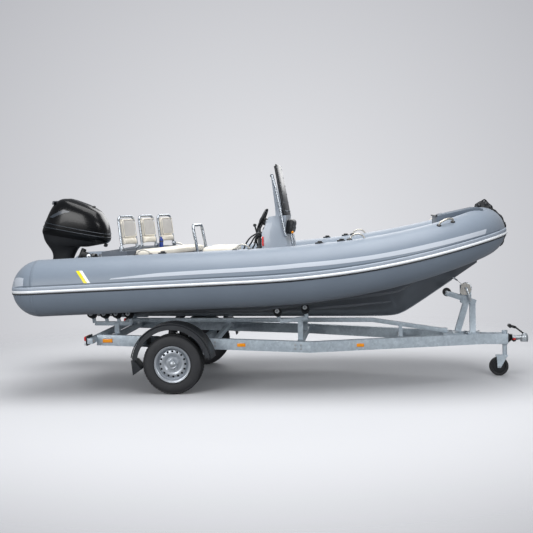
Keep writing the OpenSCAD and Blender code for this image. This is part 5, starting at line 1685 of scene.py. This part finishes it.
def shade_tree() -> bpy.types.GeometryNodeTree:
    """Builds the tree that shades faces smooth and keeps edges sharper than an angle crisp."""
    name = "shade by angle"
    if name in bpy.data.node_groups:
        return bpy.data.node_groups[name]
    tree = bpy.data.node_groups.new(name, "GeometryNodeTree")
    tree.interface.new_socket("Mesh", in_out="INPUT", socket_type="NodeSocketGeometry")
    tree.interface.new_socket("Angle", in_out="INPUT", socket_type="NodeSocketFloat").default_value = 0.56
    tree.interface.new_socket("Mesh", in_out="OUTPUT", socket_type="NodeSocketGeometry")
    given = add_node(tree, "NodeGroupInput").outputs
    bend = add_node(tree, "GeometryNodeInputMeshEdgeAngle").outputs["Unsigned Angle"]
    sharp = add_node(tree, "FunctionNodeCompare", {0: bend, 1: given["Angle"]}, operation="GREATER_THAN")
    smooth = add_node(tree, "GeometryNodeSetShadeSmooth", {"Geometry": given["Mesh"], "Shade Smooth": True},
        domain="FACE")
    crisp = add_node(tree, "GeometryNodeSetShadeSmooth",
        {"Geometry": smooth.outputs[0], "Shade Smooth": False, "Selection": sharp.outputs[0]}, domain="EDGE")
    add_node(tree, "NodeGroupOutput", {0: crisp.outputs[0]})
    return tree


def dress_nodes(edge: float = 0.0022) -> None:
    """Gives the frame nodes that stay their materials and soft edges.

    Args:
        edge: width of the rounding along their edges.
    """
    for node, finish in [(node, finish) for finish, nodes in STAY for node in nodes.split()]:
        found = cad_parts[node]
        if not found.material_slots:
            found.data.materials.append(None)
        for place in found.material_slots:
            place.material = finish.build()
        weld = found.modifiers.new("weld", "WELD")
        weld.merge_threshold = 1e-5
        bevel = found.modifiers.new("edge", "BEVEL")
        bevel.width, bevel.segments, bevel.angle_limit = edge, 2, math.radians(32)
        shade = found.modifiers.new("shade", "NODES")
        shade.node_group = shade_tree()


@dataclass(frozen=True)
class Lamp:
    """One soft studio light."""
    name: str
    at: tuple[float, float, float]
    target: tuple[float, float, float]
    size: float
    power: float


LIGHTS = (Lamp("overhead", (0.3, -1.0, 7.5), (0, 0, 0.8), 6.5, 600.0),
    Lamp("front_left", (-5.0, -8.5, 3.6), (-0.5, 0, 0.9), 4.0, 330.0),
    Lamp("front_right", (6.0, -7.5, 3.4), (1.2, 0, 0.8), 3.5, 240.0),
    Lamp("behind", (0.0, 6.0, 4.5), (0, 0, 1.0), 4.5, 150.0))


SKY_STRENGTH = 0.38
FLOOR_REACH = 30
# The floor is solid up to the first distance from the middle, and gone by the second.
FADE_FROM, FADE_TO = 3.0, 6.5
CAMERA_AT = (2.1167, -10.5664, 1.9698)
# Yaw, pitch and roll in degrees.
CAMERA_TURN = (6.4015, 3.6403, -1.5293)
SENSOR_MM, LENS_MM = 36.0, 61.9


def light() -> None:
    """Adds the studio lights and the pale backdrop."""
    for lamp in LIGHTS:
        data = bpy.data.lights.new(lamp.name, "AREA")
        data.shape, data.size, data.energy = "SQUARE", lamp.size, lamp.power
        made = bpy.data.objects.new(lamp.name, data)
        bpy.context.scene.collection.objects.link(made)
        made.location = lamp.at
        made.rotation_euler = (Vector(lamp.target) - Vector(lamp.at)).to_track_quat("-Z", "Y").to_euler()
    world = bpy.data.worlds.new("studio")
    bpy.context.scene.world = world
    world.use_nodes = True
    tree = world.node_tree
    back = tree.nodes["Background"]
    back.inputs["Color"].default_value = linear("#dfe2e8")
    back.inputs["Strength"].default_value = SKY_STRENGTH
    # The backdrop darkens outward from the middle of the view: painted shade toward the corners.
    place = add_node(tree, "ShaderNodeTexCoord").outputs["Window"]
    moved = add_node(tree, "ShaderNodeVectorMath", {0: place, 1: (0.5, 0.5, 0.0)}, operation="SUBTRACT")
    far = add_node(tree, "ShaderNodeVectorMath", {0: moved.outputs[0]}, operation="LENGTH")
    ramp = add_node(tree, "ShaderNodeMapRange", {"Value": far.outputs["Value"], "From Min": 0.15,
        "From Max": 0.72})
    shade = add_node(tree, "ShaderNodeMix", {0: ramp.outputs[0], 6: linear("#e0e1e5"), 7: linear("#bcbdc2")},
        data_type="RGBA")
    seen = add_node(tree, "ShaderNodeBackground", {"Color": shade.outputs[2], "Strength": 1.0})
    path = add_node(tree, "ShaderNodeLightPath")
    mix = add_node(tree, "ShaderNodeMixShader", {0: path.outputs["Is Camera Ray"], 1: back.outputs[0],
        2: seen.outputs[0]})
    tree.links.new(mix.outputs[0], tree.nodes["World Output"].inputs["Surface"])


def ground() -> None:
    """Lays the pale floor that the outfit stands on; far off it fades into the backdrop."""
    mesh = bpy.data.meshes.new("floor")
    mesh.from_pydata([(FLOOR_REACH * u, FLOOR_REACH * v, 0) for u, v in ((-1, -1), (1, -1), (1, 1), (-1, 1))],
        [], [(0, 1, 2, 3)])
    floor = link_mesh("floor", mesh)
    made = bpy.data.materials.new("pale studio floor")
    made.use_nodes = True
    tree = made.node_tree
    shader = tree.nodes["Principled BSDF"]
    shader.inputs["Roughness"].default_value = 0.7
    shader.inputs["Specular IOR Level"].default_value = 0.2
    seen = add_node(tree, "ShaderNodeLightPath").outputs["Is Camera Ray"]
    shade = add_node(tree, "ShaderNodeMix", {0: seen, 6: linear("#6b6d70"), 7: linear("#d3d4d7")},
        data_type="RGBA")
    tree.links.new(shade.outputs[2], shader.inputs["Base Color"])
    place = add_node(tree, "ShaderNodeTexCoord").outputs["Object"]
    far = add_node(tree, "ShaderNodeVectorMath", {0: place}, operation="LENGTH")
    fade = add_node(tree, "ShaderNodeMapRange",
        {"Value": far.outputs["Value"], "From Min": FADE_FROM, "From Max": FADE_TO},
        interpolation_type="SMOOTHSTEP")
    part = add_node(tree, "ShaderNodeMath", {0: fade.outputs[0], 1: seen}, operation="MULTIPLY")
    clear = add_node(tree, "ShaderNodeBsdfTransparent")
    mix = add_node(tree, "ShaderNodeMixShader",
        {0: part.outputs[0], 1: shader.outputs[0], 2: clear.outputs[0]})
    tree.links.new(mix.outputs[0], tree.nodes["Material Output"].inputs["Surface"])
    floor.data.materials.append(made)


def look() -> None:
    """Stands the camera at the starboard bow quarter, nearly level and slightly rolled."""
    yaw, pitch, roll = (math.radians(a) for a in CAMERA_TURN)
    ahead = Vector((-math.sin(yaw) * math.cos(pitch), math.cos(yaw) * math.cos(pitch), -math.sin(pitch)))
    right = Vector((math.cos(yaw), math.sin(yaw), 0))
    up = right.cross(ahead)
    across = right * math.cos(roll) + up * math.sin(roll)
    rise = up * math.cos(roll) - right * math.sin(roll)
    data = bpy.data.cameras.new("camera")
    data.sensor_width, data.lens = SENSOR_MM, LENS_MM
    made = bpy.data.objects.new("camera", data)
    bpy.context.scene.collection.objects.link(made)
    made.matrix_world = Matrix.Translation(st(*CAMERA_AT)) @ Matrix(
        (across, rise, -ahead)).transposed().to_4x4()
    bpy.context.scene.camera = made
    bpy.context.scene.view_settings.view_transform = "Standard"


HULL = Hull()


def main() -> None:
    """Builds the looks over the frame."""
    logging.basicConfig(level=logging.INFO, format="%(name)s: %(message)s")
    dress_nodes()
    for part in (Tubes(), HULL, Bow(), Seats(), Helm(), Engine(), Wheels(), Trailer()):
        LOG.info("building %s", type(part).__name__)
        part.build()
    light()
    ground()
    look()


if __name__ == "__main__":
    main()
